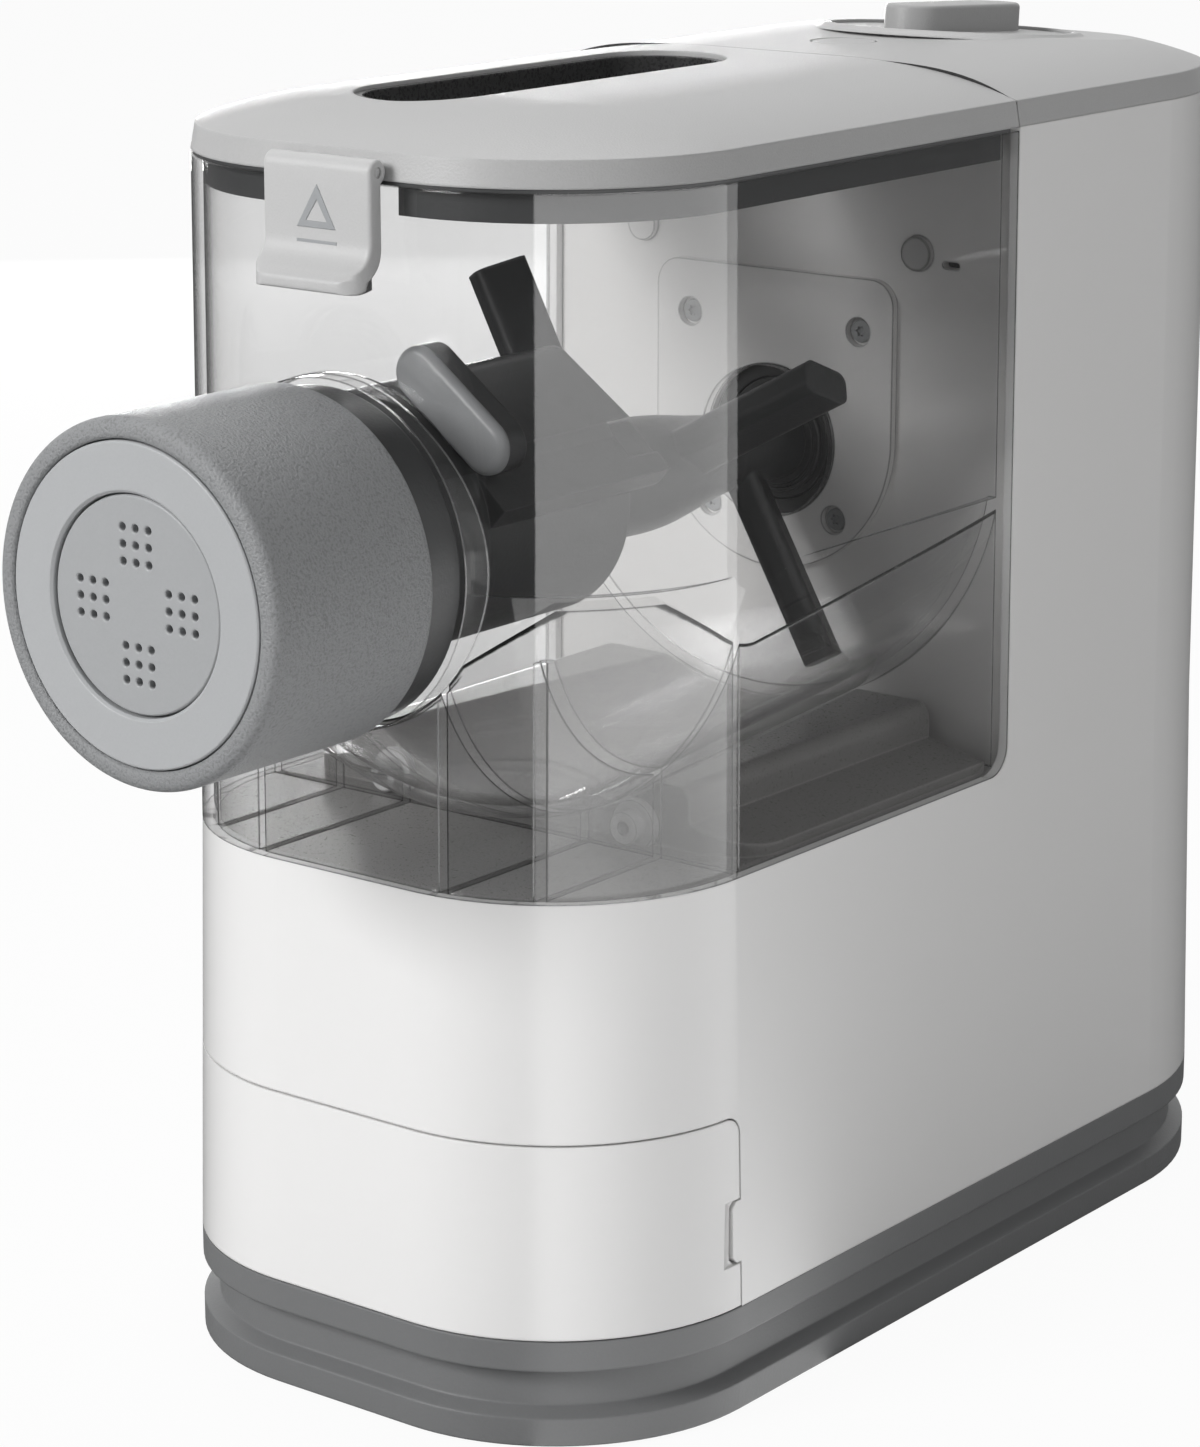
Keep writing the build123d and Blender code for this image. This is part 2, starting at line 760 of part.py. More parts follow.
# ---------------------------------------------------------------- extruder
tube_start_y = tub_hub_y + tub_hub_depth
lug_length = sqrt((lug_low[0] - lug_top[0]) ** 2 + (lug_top[1] - lug_low[1]) ** 2)
lug_turn = degrees(atan2(lug_low[1] - lug_top[1], lug_low[0] - lug_top[0]))
lug_centre = ((lug_top[0] + lug_low[0]) / 2, axis_z + (lug_top[1] + lug_low[1]) / 2)

with BuildPart() as tube_wing:
    with BuildSketch(Plane.XZ.offset(-wing_front_y)):
        with BuildLine():
            Polyline(*[(x, axis_z + rise) for x, rise in (wing_root, wing_tip, wing_heel)], close=True)
        make_face()
    extrude(amount=wing_front_y - wing_rear_y)

with BuildPart() as extruder_tube:
    add(disc_y(barrel_radius, disc_back_y, tub_hub_y))
    add(disc_y(thread_radius, nut_rear_y - thread_offset, nut_rear_y - thread_offset + thread_width))
    add(disc_y(neck_radius, nut_rear_y - thread_offset, tube_start_y))
    add(disc_y(collar_radius, nut_rear_y + slide_gap, tub_hub_y))
    with BuildSketch(Plane.XZ.offset(-tube_start_y)):
        add(hood_outline(0))
    extrude(amount=tube_start_y - hood_rear_y)
    add(tube_wing.part)
    with BuildSketch(Plane.XZ.offset(-(lug_face_y + lug_face_thickness))):
        with Locations(lug_centre):
            SlotCenterToCenter(lug_length, 2 * lug_half_width, rotation=lug_turn)
    extrude(amount=lug_face_thickness - lug_depth)
    with BuildSketch(Plane.XZ.offset(-(tube_start_y + tube_skin))):
        add(hood_outline(tube_skin))
    extrude(amount=tube_start_y - hood_rear_y, mode=Mode.SUBTRACT)
    add(disc_y(bore_radius, disc_back_y, hood_rear_y), mode=Mode.SUBTRACT)
    with BuildSketch(Plane.XZ.offset(-(lug_face_y + lug_face_thickness))):
        with Locations(lug_centre):
            SlotCenterToCenter(lug_length, 2 * lug_half_width, rotation=lug_turn)
    extrude(amount=lug_face_y + lug_face_thickness - tube_start_y, mode=Mode.SUBTRACT)
    add(slab(trough_rear_y, hood_rear_y + wall, axis_z - trough_radius, axis_z + hood_rim_rise,
             trough_radius), mode=Mode.SUBTRACT)
finish(extruder_tube.part, "extruder_tube")

with BuildPart() as extruder_lug_face:
    with BuildSketch(Plane.XZ.offset(-lug_face_y)):
        with Locations(lug_centre):
            SlotCenterToCenter(lug_length, 2 * lug_half_width, rotation=lug_turn)
    extrude(amount=-lug_face_thickness)
finish(extruder_lug_face.part, "extruder_lug_face")

# ---------------------------------------------------------------- die nut
with BuildPart() as die_nut:
    add(disc_y(nut_radius, nose_y, nut_rear_y))
    fillet(die_nut.edges().group_by(Axis.Y)[0], radius=nut_edge)
    add(disc_y(nut_bore, nose_y + ring_thickness + ring_shoulder, nut_rear_y), mode=Mode.SUBTRACT)
    add(disc_y(ring_radius, nose_y, nose_y + ring_thickness), mode=Mode.SUBTRACT)
    add(disc_y(ring_shoulder_radius, nose_y, nut_rear_y), mode=Mode.SUBTRACT)
finish(die_nut.part, "die_nut")

with BuildPart() as face_ring:
    add(disc_y(ring_radius, nose_y, nose_y + ring_thickness, bore=ring_opening))
finish(face_ring.part, "face_ring")

cluster_centres = [(die_cluster_radius * cos(radians(turn)), die_cluster_radius * sin(radians(turn)))
                   for turn in (0, 90, 180, 270)]
fine_holes = [(x + column * die_hole_pitch, rise + row * die_hole_pitch, die_hole_radius)
              for x, rise in cluster_centres for column in (-1, 0, 1) for row in (-1, 0, 1)]
with BuildPart() as shaping_disc:
    add(disc_solid(disc_back_y, fine_holes))
finish(shaping_disc.part, "shaping_disc")

# ---------------------------------------------------------------- stirring rod and screw
coupling_y = panel_y - coupling_length / 2
screw_front_y = disc_back_y + slide_gap

with BuildPart() as extrusion_screw:
    with BuildLine() as thread_path:
        Helix(pitch=screw_pitch, height=screw_rear_y - screw_front_y - flight_thickness - 2 * flight_root,
              radius=screw_core_radius - flight_root,
              center=(0, screw_front_y + flight_root + flight_thickness / 2, axis_z),
              direction=(0, 1, 0))
    start = thread_path.line @ 0
    with BuildSketch(Plane(origin=start, x_dir=(start.X, 0, start.Z - axis_z),
                           z_dir=thread_path.line % 0)):
        with Locations(((screw_radius - screw_core_radius + flight_root) / 2, 0)):
            Rectangle(screw_radius - screw_core_radius + flight_root, flight_thickness)
    sweep(path=thread_path.line, is_frenet=True)
    add(disc_y(screw_core_radius, screw_front_y, screw_rear_y))

with BuildPart() as stirring_rod:
    with BuildSketch(Plane.YZ):
        with BuildLine():
            hub = Spline(*[(front_y + along, axis_z + radius) for along, radius in hub_profile])
            Polyline(hub @ 1, (coupling_y, axis_z + shaft_radius), (coupling_y, axis_z),
                     ((hub @ 0).X, axis_z), hub @ 0)
        make_face()
    revolve(axis=Axis((0, 0, axis_z), (0, 1, 0)))
    add(extrusion_screw.part)
    for offset_y, turn in arm_places:
        outward = Vector(cos(radians(turn)), 0, sin(radians(turn)))
        around = Vector(-sin(radians(turn)), 0, cos(radians(turn)))
        blade = around * cos(radians(arm_twist)) + Vector(0, sin(radians(arm_twist)), 0)
        root = Vector(0, front_y + offset_y, axis_z)
        with BuildSketch(Plane(origin=root, x_dir=blade, z_dir=outward)):
            RectangleRounded(arm_width, arm_thickness, arm_round)
        extrude(amount=arm_reach)
    with BuildSketch(Plane.XZ.offset(-coupling_y)):
        with Locations((0, axis_z)):
            RegularPolygon(tang_radius, 6)
    extrude(amount=-tang_length)
finish(stirring_rod.part, "stirring_rod")

# ---------------------------------------------------------------- tower front
def tombstone(half_width, top_rise, low_rise, corner):
    """Plate outline: square shoulders above, half-round foot below."""
    centre_rise = low_rise + half_width
    with BuildSketch() as plate:
        with Locations((0, axis_z + centre_rise)):
            Circle(half_width)
        with Locations((0, axis_z + (centre_rise + top_rise) / 2)):
            Rectangle(2 * half_width, top_rise - centre_rise)
        fillet(plate.vertices().group_by(Axis.Y)[-1], radius=corner)
    return plate.sketch


screw_centres = [(x, axis_z + rise) for x, rise in plate_screw_places]

with BuildPart() as tower_panel:
    add(housing_block(wall))
    add(slab(panel_y, case_front_y, rim_z - deck_thickness, band_low_z), mode=Mode.INTERSECT)
    with BuildSketch(Plane.XZ.offset(-panel_y)):
        with Locations((0, axis_z)):
            Circle(drive_hole)
        with Locations(*screw_centres):
            Circle(screw_shank)
        with Locations((interlock_x, axis_z + interlock_rise)):
            Circle(interlock_radius + running_gap)
        with Locations((sight_hole_x, axis_z + sight_hole_rise)):
            SlotOverall(3 * screw_shank, screw_shank)
    extrude(amount=-panel_thickness, mode=Mode.SUBTRACT)
    add(disc_y(interlock_radius, panel_y - interlock_flange, panel_y, axis_z + interlock_rise,
               x=-interlock_x))
finish(tower_panel.part, "tower_panel")

with BuildPart() as drive_plate:
    with BuildSketch(Plane.XZ.offset(-panel_y)):
        add(tombstone(plate_half_width, plate_top_rise, -plate_foot_drop, plate_corner))
        with Locations((0, axis_z)):
            Circle(drive_hole, mode=Mode.SUBTRACT)
        with Locations(*screw_centres):
            Circle(screw_head, mode=Mode.SUBTRACT)
    extrude(amount=plate_thickness)
finish(drive_plate.part, "drive_plate")

with BuildPart() as drive_plate_screws:
    with BuildSketch(Plane.XZ.offset(-panel_y)):
        with Locations(*screw_centres):
            Circle(screw_head)
    extrude(amount=plate_thickness / 2)
    with BuildSketch(Plane.XZ.offset(-panel_y)):
        with Locations(*screw_centres):
            Circle(screw_shank)
    extrude(amount=-(panel_thickness + case_wall))
finish(drive_plate_screws.part, "drive_plate_screws")

with BuildPart() as drive_seal:
    add(disc_y(drive_hole, panel_y + slide_gap, case_front_y, bore=coupling_radius + slide_gap))
finish(drive_seal.part, "drive_seal")

# ---------------------------------------------------------------- gearbox
def case_outline(inward):
    """Hull round the gears, moved inwards."""
    grow = case_clear + case_wall + gear_module - inward
    with BuildSketch() as outline:
        with BuildLine():
            CenterArc((0, axis_z), gear_module * output_teeth / 2 + grow, 0, 360)
            CenterArc((0, idler_z), gear_module * idler_wheel_teeth / 2 + grow, 0, 360)
            CenterArc((0, motor_z), gear_module * motor_pinion_teeth / 2 + grow, 0, 360)
        make_hull()
    return outline.sketch


bush_radius = drive_shaft_radius + running_gap + bush_wall
rear_bush_radius = drive_journal_radius + running_gap + bush_wall

with BuildPart() as gearbox_frame:
    with BuildSketch(Plane.XZ.offset(-case_front_y)):
        add(case_outline(0))
    extrude(amount=case_front_y - cover_y)
    with BuildSketch(Plane.XZ.offset(-(case_front_y + case_wall))):
        add(case_outline(case_wall))
    extrude(amount=case_front_y - cover_y, mode=Mode.SUBTRACT)
    with BuildSketch(Plane.XZ.offset(-case_front_y)):
        with Locations((0, axis_z)):
            Circle(bush_radius)
        with Locations((0, idler_z)):
            Circle(idler_pin_radius)
        with Locations(*screw_centres):
            Circle(screw_shank)
    extrude(amount=-case_wall, mode=Mode.SUBTRACT)
finish(gearbox_frame.part, "gearbox_frame")

with BuildPart() as gearbox_cover:
    with BuildSketch(Plane.XZ.offset(-cover_y)):
        add(case_outline(0))
        with Locations((0, axis_z)):
            Circle(rear_bush_radius, mode=Mode.SUBTRACT)
        with Locations((0, idler_z)):
            Circle(idler_pin_radius, mode=Mode.SUBTRACT)
        with Locations((0, motor_z)):
            Circle(2 * motor_shaft_radius, mode=Mode.SUBTRACT)
    extrude(amount=-case_wall)
finish(gearbox_cover.part, "gearbox_cover")

with BuildPart() as output_bush_front:
    add(disc_y(bush_radius, case_front_y, case_front_y + case_wall,
               bore=drive_shaft_radius + running_gap))
finish(output_bush_front.part, "output_bush_front")

with BuildPart() as output_bush_rear:
    add(disc_y(rear_bush_radius, cover_y, motor_y, bore=drive_journal_radius + running_gap))
finish(output_bush_rear.part, "output_bush_rear")

with BuildPart() as idler_pin:
    add(disc_y(idler_pin_radius, case_front_y, motor_y, idler_z))
finish(idler_pin.part, "idler_pin")

with BuildPart() as output_shaft:
    add(disc_y(coupling_radius, panel_y + slide_gap, case_front_y - slide_gap))
    add(disc_y(coupling_radius - bush_wall / 2, coupling_y, case_front_y - slide_gap))
    add(disc_y(drive_shaft_radius, coupling_y, wheel_y - gear_side))
    add(disc_y(drive_journal_radius, coupling_y, motor_y))
    with BuildSketch(Plane.XZ.offset(-coupling_y)):
        with Locations((0, axis_z)):
            RegularPolygon(tang_radius + running_gap, 6)
    extrude(amount=-tang_length - running_gap, mode=Mode.SUBTRACT)
finish(output_shaft.part, "output_shaft")

with BuildPart() as output_gear:
    add(spur_gear(output_teeth, output_gear_y, wide_gear, axis_z, drive_shaft_radius,
                  180 / output_teeth - 90))
finish(output_gear.part, "output_gear")

with BuildPart() as idler_gear:
    add(spur_gear(idler_pinion_teeth, output_gear_y, wide_gear + gear_gap, idler_z,
                  idler_pin_radius + running_gap, 90))
    add(spur_gear(idler_wheel_teeth, wheel_y, narrow_gear, idler_z,
                  idler_pin_radius + running_gap, 180 / idler_wheel_teeth - 90))
finish(idler_gear.part, "idler_gear")

with BuildPart() as motor_pinion:
    add(spur_gear(motor_pinion_teeth, wheel_y, narrow_gear, motor_z, motor_shaft_radius, 90))
finish(motor_pinion.part, "motor_pinion")

# ---------------------------------------------------------------- motor
motor_rear_y = motor_y + motor_length

with BuildPart() as motor_can:
    add(disc_y(motor_radius, motor_y, motor_rear_y, motor_z))
    add(disc_y(motor_radius - motor_wall, motor_y + motor_wall, motor_rear_y - motor_wall, motor_z),
        mode=Mode.SUBTRACT)
    add(disc_y(motor_shaft_radius + running_gap, motor_y, motor_rear_y, motor_z), mode=Mode.SUBTRACT)
finish(motor_can.part, "motor_can")

with BuildPart() as motor_stator:
    add(disc_y(motor_radius - motor_wall, motor_y + rotor_end_gap, motor_rear_y - rotor_end_gap,
               motor_z, bore=rotor_radius + slide_gap))
finish(motor_stator.part, "motor_stator")

fan_y = motor_rear_y + gear_side
with BuildPart() as motor_rotor:
    add(disc_y(rotor_radius, motor_y + rotor_end_gap, motor_rear_y - rotor_end_gap, motor_z))
    add(disc_y(motor_shaft_radius, wheel_y, fan_y + fan_width, motor_z))
finish(motor_rotor.part, "motor_rotor")

with BuildPart() as motor_fan:
    add(disc_y(fan_radius, fan_y, fan_y + motor_wall, motor_z))
    add(disc_y(fan_hub_radius, fan_y, fan_y + fan_width, motor_z))
    with BuildSketch(Plane.XZ.offset(-fan_y)):
        with Locations((0, motor_z)):
            with PolarLocations((fan_radius + fan_hub_radius - motor_wall) / 2, fan_blades):
                Rectangle(fan_radius - fan_hub_radius, motor_wall)
    extrude(amount=-fan_width)
    add(disc_y(motor_shaft_radius, fan_y, fan_y + fan_width, motor_z), mode=Mode.SUBTRACT)
finish(motor_fan.part, "motor_fan")

with BuildPart() as motor_cradle:
    cradle_height = motor_z - motor_radius / 2 - floor_top
    with Locations(*[(0, y, floor_top + cradle_height / 2)
                     for y in (motor_y + rotor_end_gap, motor_rear_y - rotor_end_gap)]):
        Box(2 * cradle_half_width, cradle_thickness, cradle_height)
    with Locations((0, (motor_y + motor_rear_y) / 2, floor_top + cradle_thickness / 2)):
        Box(2 * cradle_half_width, motor_length, cradle_thickness)
    add(disc_y(motor_radius, motor_y, motor_rear_y, motor_z), mode=Mode.SUBTRACT)
finish(motor_cradle.part, "motor_cradle")

# ---------------------------------------------------------------- rear cover and controls
knob_face_z = crown_z - (knob_y - rear_y + fall_start) * tan(radians(rear_fall))
knob_plane = Plane(origin=(0, knob_y, knob_face_z), x_dir=(1, 0, 0), z_dir=fall_plane.z_dir)
post_places = [(side * (board_half_width - 2 * board_post_radius), board_front_y + along)
               for side in (-1, 1) for along in (2 * board_post_radius, board_length - 2 * board_post_radius)]

with BuildPart() as cover_block:
    add(below_fall(crowned_block(0, 0), 0))
    add(slab(seam_y, rear_y, band_low_z, crown_z), mode=Mode.INTERSECT)

with BuildPart() as cover_hollow:
    add(below_fall(crowned_block(wall, wall), wall))
    add(slab(seam_y + wall, rear_y, band_low_z, crown_z), mode=Mode.INTERSECT)

with BuildPart() as rear_cover:
    add(cover_block.part)
    add(cover_hollow.part, mode=Mode.SUBTRACT)
    with BuildSketch(Plane.XY.offset(board_z + board_thickness)):
        with Locations(*post_places):
            Circle(board_post_radius)
    extrude(amount=board_drop - board_thickness)
    with BuildSketch(knob_plane.offset(-knob_boss_depth)):
        Circle(knob_rim_radius)
    extrude(amount=knob_boss_depth)
    add(below_fall(crowned_block(0, 0), 0), mode=Mode.INTERSECT)
    with Locations(knob_plane.offset(knob_rim_rise)):
        Cone(knob_rim_radius + knob_flare, knob_rim_radius, 2 * knob_rim_rise,
             align=(Align.CENTER, Align.CENTER, Align.MAX))
    with BuildSketch(knob_plane.offset(-knob_well_depth)):
        Circle(knob_radius + slide_gap)
    extrude(amount=2 * knob_well_depth, mode=Mode.SUBTRACT)
    with BuildSketch(knob_plane.offset(-2 * knob_boss_depth)):
        Circle(knob_shaft_radius + running_gap)
    extrude(amount=2 * knob_boss_depth, mode=Mode.SUBTRACT)
    with BuildSketch(Plane.XY.offset(crown_z - 2 * knob_boss_depth)):
        with Locations((0, button_y)):
            Circle(button_radius + slide_gap)
    extrude(amount=2 * knob_boss_depth, mode=Mode.SUBTRACT)
finish(rear_cover.part, "rear_cover")

shaft_reach = knob_face_z - board_z - board_thickness - switch_height / 2

with BuildPart() as selector_knob:
    with BuildSketch(knob_plane.offset(slide_gap - knob_well_depth)):
        Circle(knob_radius)
    extrude(amount=knob_well_depth - slide_gap)
    with BuildSketch(knob_plane):
        SlotOverall(grip_length, grip_width, rotation=90)
    extrude(amount=2 * grip_rise)
    split(bisect_by=Plane(origin=(0, knob_y, knob_face_z + grip_rise), x_dir=(1, 0, 0),
                          z_dir=(0, sin(radians(rear_fall - grip_lean)),
                                 cos(radians(rear_fall - grip_lean)))),
          keep=Keep.BOTTOM)
    with BuildSketch(knob_plane.offset(-shaft_reach)):
        Circle(knob_shaft_radius)
    extrude(amount=shaft_reach)
finish(selector_knob.part, "selector_knob")

with BuildPart() as start_button:
    button_top = crown_z - button_sink
    switch_top = board_z + board_thickness + tact_height
    with BuildSketch(Plane.XY.offset(button_top - button_thickness)):
        with Locations((0, button_y)):
            Circle(button_radius)
    extrude(amount=button_thickness)
    with BuildSketch(Plane.XY.offset(button_top - button_thickness)):
        with Locations((0, button_y)):
            Circle(button_radius + 2 * slide_gap)
    extrude(amount=2 * slide_gap)
    with BuildSketch(Plane.XY.offset(switch_top + button_travel + running_gap)):
        with Locations((0, button_y)):
            Circle(button_stem_radius)
    extrude(until=Until.NEXT)
finish(start_button.part, "start_button")

with BuildPart() as control_board:
    with Locations((0, board_front_y + board_length / 2, board_z + board_thickness / 2)):
        Box(2 * board_half_width, board_length, board_thickness)
finish(control_board.part, "control_board")

with BuildPart() as selector_switch:
    with Locations((0, knob_y, board_z + board_thickness + switch_height / 2)):
        Box(2 * switch_half_width, 2 * switch_half_width, switch_height)
    with BuildSketch(knob_plane.offset(-shaft_reach - knob_rim_rise)):
        Circle(knob_shaft_radius + running_gap)
    extrude(amount=shaft_reach, mode=Mode.SUBTRACT)
finish(selector_switch.part, "selector_switch")

with BuildPart() as start_switch:
    with Locations((0, button_y, board_z + board_thickness + tact_height / 2)):
        Box(2 * tact_half_width, 2 * tact_half_width, tact_height)
finish(start_switch.part, "start_switch")

# ---------------------------------------------------------------- interlock
plunger_z = axis_z + interlock_rise
flange_y = case_front_y + interlock_flange + interlock_travel

with BuildPart() as interlock_plunger:
    add(disc_y(interlock_radius, panel_y - interlock_flange, case_front_y, plunger_z, x=interlock_x))
    add(disc_y(interlock_radius + interlock_flange_width, case_front_y,
               case_front_y + interlock_flange, plunger_z, x=interlock_x))
finish(interlock_plunger.part, "interlock_plunger")

with BuildPart() as interlock_switch:
    width, height, depth = interlock_box
    with Locations((interlock_x, flange_y + running_gap + depth / 2, plunger_z)):
        Box(width, depth, height)
    reach = flange_y + running_gap + depth - case_front_y
    with Locations((interlock_x, case_front_y + reach / 2, plunger_z + height / 2 + wall / 2)):
        Box(width, reach, wall)
finish(interlock_switch.part, "interlock_switch")

# ---------------------------------------------------------------- lid
lid_rear_y = seam_y - shut_gap
skirt_rear_y = tub_rear_y - tub_wall - slide_gap

with BuildPart() as lid_hollow:
    add(crowned_block(wall, wall))
    add(slab(front_y, lid_rear_y - wall, band_low_z, crown_z), mode=Mode.INTERSECT)

band_face_y = front_y + band_inset
latch_front_y = band_face_y - latch_back - latch_thickness
barrel_radius_latch = (latch_back + latch_thickness - slide_gap) / 2
pin_y = latch_front_y + barrel_radius_latch

with BuildPart() as latch_lugs:
    for side in (-1, 1):
        with BuildSketch(Plane.YZ.offset(side * lug_plate_x)):
            with Locations((pin_y, latch_pin_z)):
                Circle(lug_plate_radius)
            with Locations(((pin_y + band_face_y + wall) / 2, latch_pin_z)):
                Rectangle(band_face_y + wall - pin_y, 2 * lug_plate_radius)
        extrude(amount=lug_plate_width / 2, both=True)

with BuildPart() as lid:
    add(crowned_block(0, 0))
    add(slab(front_y, lid_rear_y, band_low_z, crown_z), mode=Mode.INTERSECT)
    add(lid_hollow.part, mode=Mode.SUBTRACT)
    with BuildSketch(Plane.XY.offset(band_top_z)):
        with Locations((slot_x, slot_y)):
            SlotOverall(slot_length, 2 * slot_half_width, rotation=90)
    extrude(amount=crown_rise, mode=Mode.SUBTRACT)
    add(latch_lugs.part)
    with BuildSketch(Plane.YZ):
        with Locations((pin_y, latch_pin_z)):
            Circle(latch_pin_radius)
    extrude(amount=latch_half_width, both=True, mode=Mode.SUBTRACT)
finish(lid.part, "lid")

with BuildPart() as latch_pin:
    with BuildSketch(Plane.YZ):
        with Locations((pin_y, latch_pin_z)):
            Circle(latch_pin_radius)
    extrude(amount=latch_half_width - slide_gap, both=True)
finish(latch_pin.part, "latch_pin")

with BuildPart() as lid_liner:
    add(lid_hollow.part)
    add(slab(front_y, rear_y, band_low_z, band_low_z + liner_thickness), mode=Mode.INTERSECT)
    with BuildSketch(Plane.XY.offset(band_low_z)):
        with Locations((slot_x, slot_y)):
            SlotOverall(slot_length, 2 * slot_half_width, rotation=90)
    extrude(amount=liner_thickness, mode=Mode.SUBTRACT)
finish(lid_liner.part, "lid_liner")

with BuildPart() as slot_frame:
    with BuildSketch(Plane.XY.offset(band_low_z)):
        with Locations((slot_x, slot_y)):
            SlotOverall(slot_length, 2 * slot_half_width, rotation=90)
            SlotOverall(slot_length - 2 * slot_frame_wall, 2 * (slot_half_width - slot_frame_wall),
                        rotation=90, mode=Mode.SUBTRACT)
    extrude(amount=crown_z - slot_sink - band_low_z)
    with BuildSketch(Plane.XY.offset(band_low_z)):
        with Locations((slot_x, slot_y)):
            with GridLocations(0, slot_length / (grille_count + 1), 1, grille_count):
                Rectangle(2 * slot_half_width - slot_frame_wall, grille_bar)
    extrude(amount=grille_height)
finish(slot_frame.part, "slot_frame")

with BuildPart() as lid_skirt:
    skirt_low_z = tub_top_z - skirt_drop
    add(inner_room(tub_wall + slide_gap, skirt_rear_y, skirt_low_z, tub_top_z))
    add(inner_room(shut_gap, skirt_rear_y, tub_top_z, band_low_z))
    add(inner_room(tub_wall + slide_gap + skirt_thickness, skirt_rear_y - skirt_thickness,
                   skirt_low_z, band_low_z), mode=Mode.SUBTRACT)
    add(slab(nose_y, bulkhead_y, skirt_low_z, tub_top_z, latch_break), mode=Mode.SUBTRACT)
finish(lid_skirt.part, "lid_skirt")

# ---------------------------------------------------------------- latch
with BuildPart() as latch:
    latch_back_y = band_face_y - latch_back
    tip_y = latch_front_y - latch_tongue_out
    with BuildSketch(Plane.YZ):
        with BuildLine():
            Polyline((latch_back_y, latch_heel_z), (latch_back_y, latch_pin_z),
                     (latch_front_y, latch_pin_z), (latch_front_y, latch_straight_end),
                     (tip_y, latch_tongue_z), (tip_y, latch_tongue_low + latch_pin_radius),
                     (tip_y + latch_pin_radius, latch_tongue_low), close=True)
        make_face()
        with Locations((pin_y, latch_pin_z)):
            Circle(barrel_radius_latch)
    extrude(amount=latch_half_width, both=True)
    with BuildSketch(Plane.XY.offset(latch_tongue_low)) as latch_plan:
        with Locations((0, (tip_y + front_y) / 2)):
            Rectangle(2 * latch_half_width, front_y - tip_y + 2 * band_inset)
        fillet(latch_plan.vertices().group_by(Axis.Y)[0], radius=latch_plan_corner)
    extrude(amount=latch_pin_z, mode=Mode.INTERSECT)
    for side in (-1, 1):
        with BuildSketch(Plane.YZ.offset(side * lug_plate_x)):
            with Locations((pin_y, latch_pin_z)):
                Circle(lug_plate_radius + slide_gap)
            with Locations((pin_y + barrel_radius_latch, latch_pin_z + lug_plate_radius / 2)):
                Rectangle(2 * barrel_radius_latch, 3 * lug_plate_radius + 2 * slide_gap)
        extrude(amount=lug_plate_width / 2 + slide_gap, both=True, mode=Mode.SUBTRACT)
    with BuildSketch(Plane.YZ):
        with Locations((pin_y, latch_pin_z)):
            Circle(latch_pin_radius + running_gap)
    extrude(amount=latch_half_width, both=True, mode=Mode.SUBTRACT)
finish(latch.part, "latch")
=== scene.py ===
import logging
import math
from dataclasses import dataclass
from enum import Enum
from typing import Callable, ClassVar, Iterable, Sequence

import bmesh
import bpy
from mathutils import Matrix, Vector


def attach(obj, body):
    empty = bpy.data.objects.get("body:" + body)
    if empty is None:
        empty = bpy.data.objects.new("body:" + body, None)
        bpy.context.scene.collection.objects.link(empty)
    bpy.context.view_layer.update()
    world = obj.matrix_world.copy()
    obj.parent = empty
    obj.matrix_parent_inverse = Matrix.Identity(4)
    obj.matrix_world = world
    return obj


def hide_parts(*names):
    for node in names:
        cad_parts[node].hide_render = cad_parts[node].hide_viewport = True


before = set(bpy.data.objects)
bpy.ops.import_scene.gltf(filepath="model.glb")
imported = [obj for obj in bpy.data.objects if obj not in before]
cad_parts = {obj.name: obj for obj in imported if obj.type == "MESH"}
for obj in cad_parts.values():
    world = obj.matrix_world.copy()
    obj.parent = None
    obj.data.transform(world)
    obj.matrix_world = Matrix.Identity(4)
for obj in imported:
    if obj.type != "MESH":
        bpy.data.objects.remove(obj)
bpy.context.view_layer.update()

Node, Socket, Solid = bpy.types.Node, bpy.types.NodeSocket, bpy.types.Object
NODES: dict[str, Solid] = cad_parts
LOG = logging.getLogger("pasta_maker")

Colour = Point = tuple[float, float, float]
Flat = tuple[float, float]
WHITE = (1, 1, 1, 1)
WELD_GAP = 1e-6  # points nearer than this become one
SHAFT_Z = 0.184  # height of the axis that the shaft, the tube and the nut share
PANEL_Y = 0.04295  # face of the tower panel


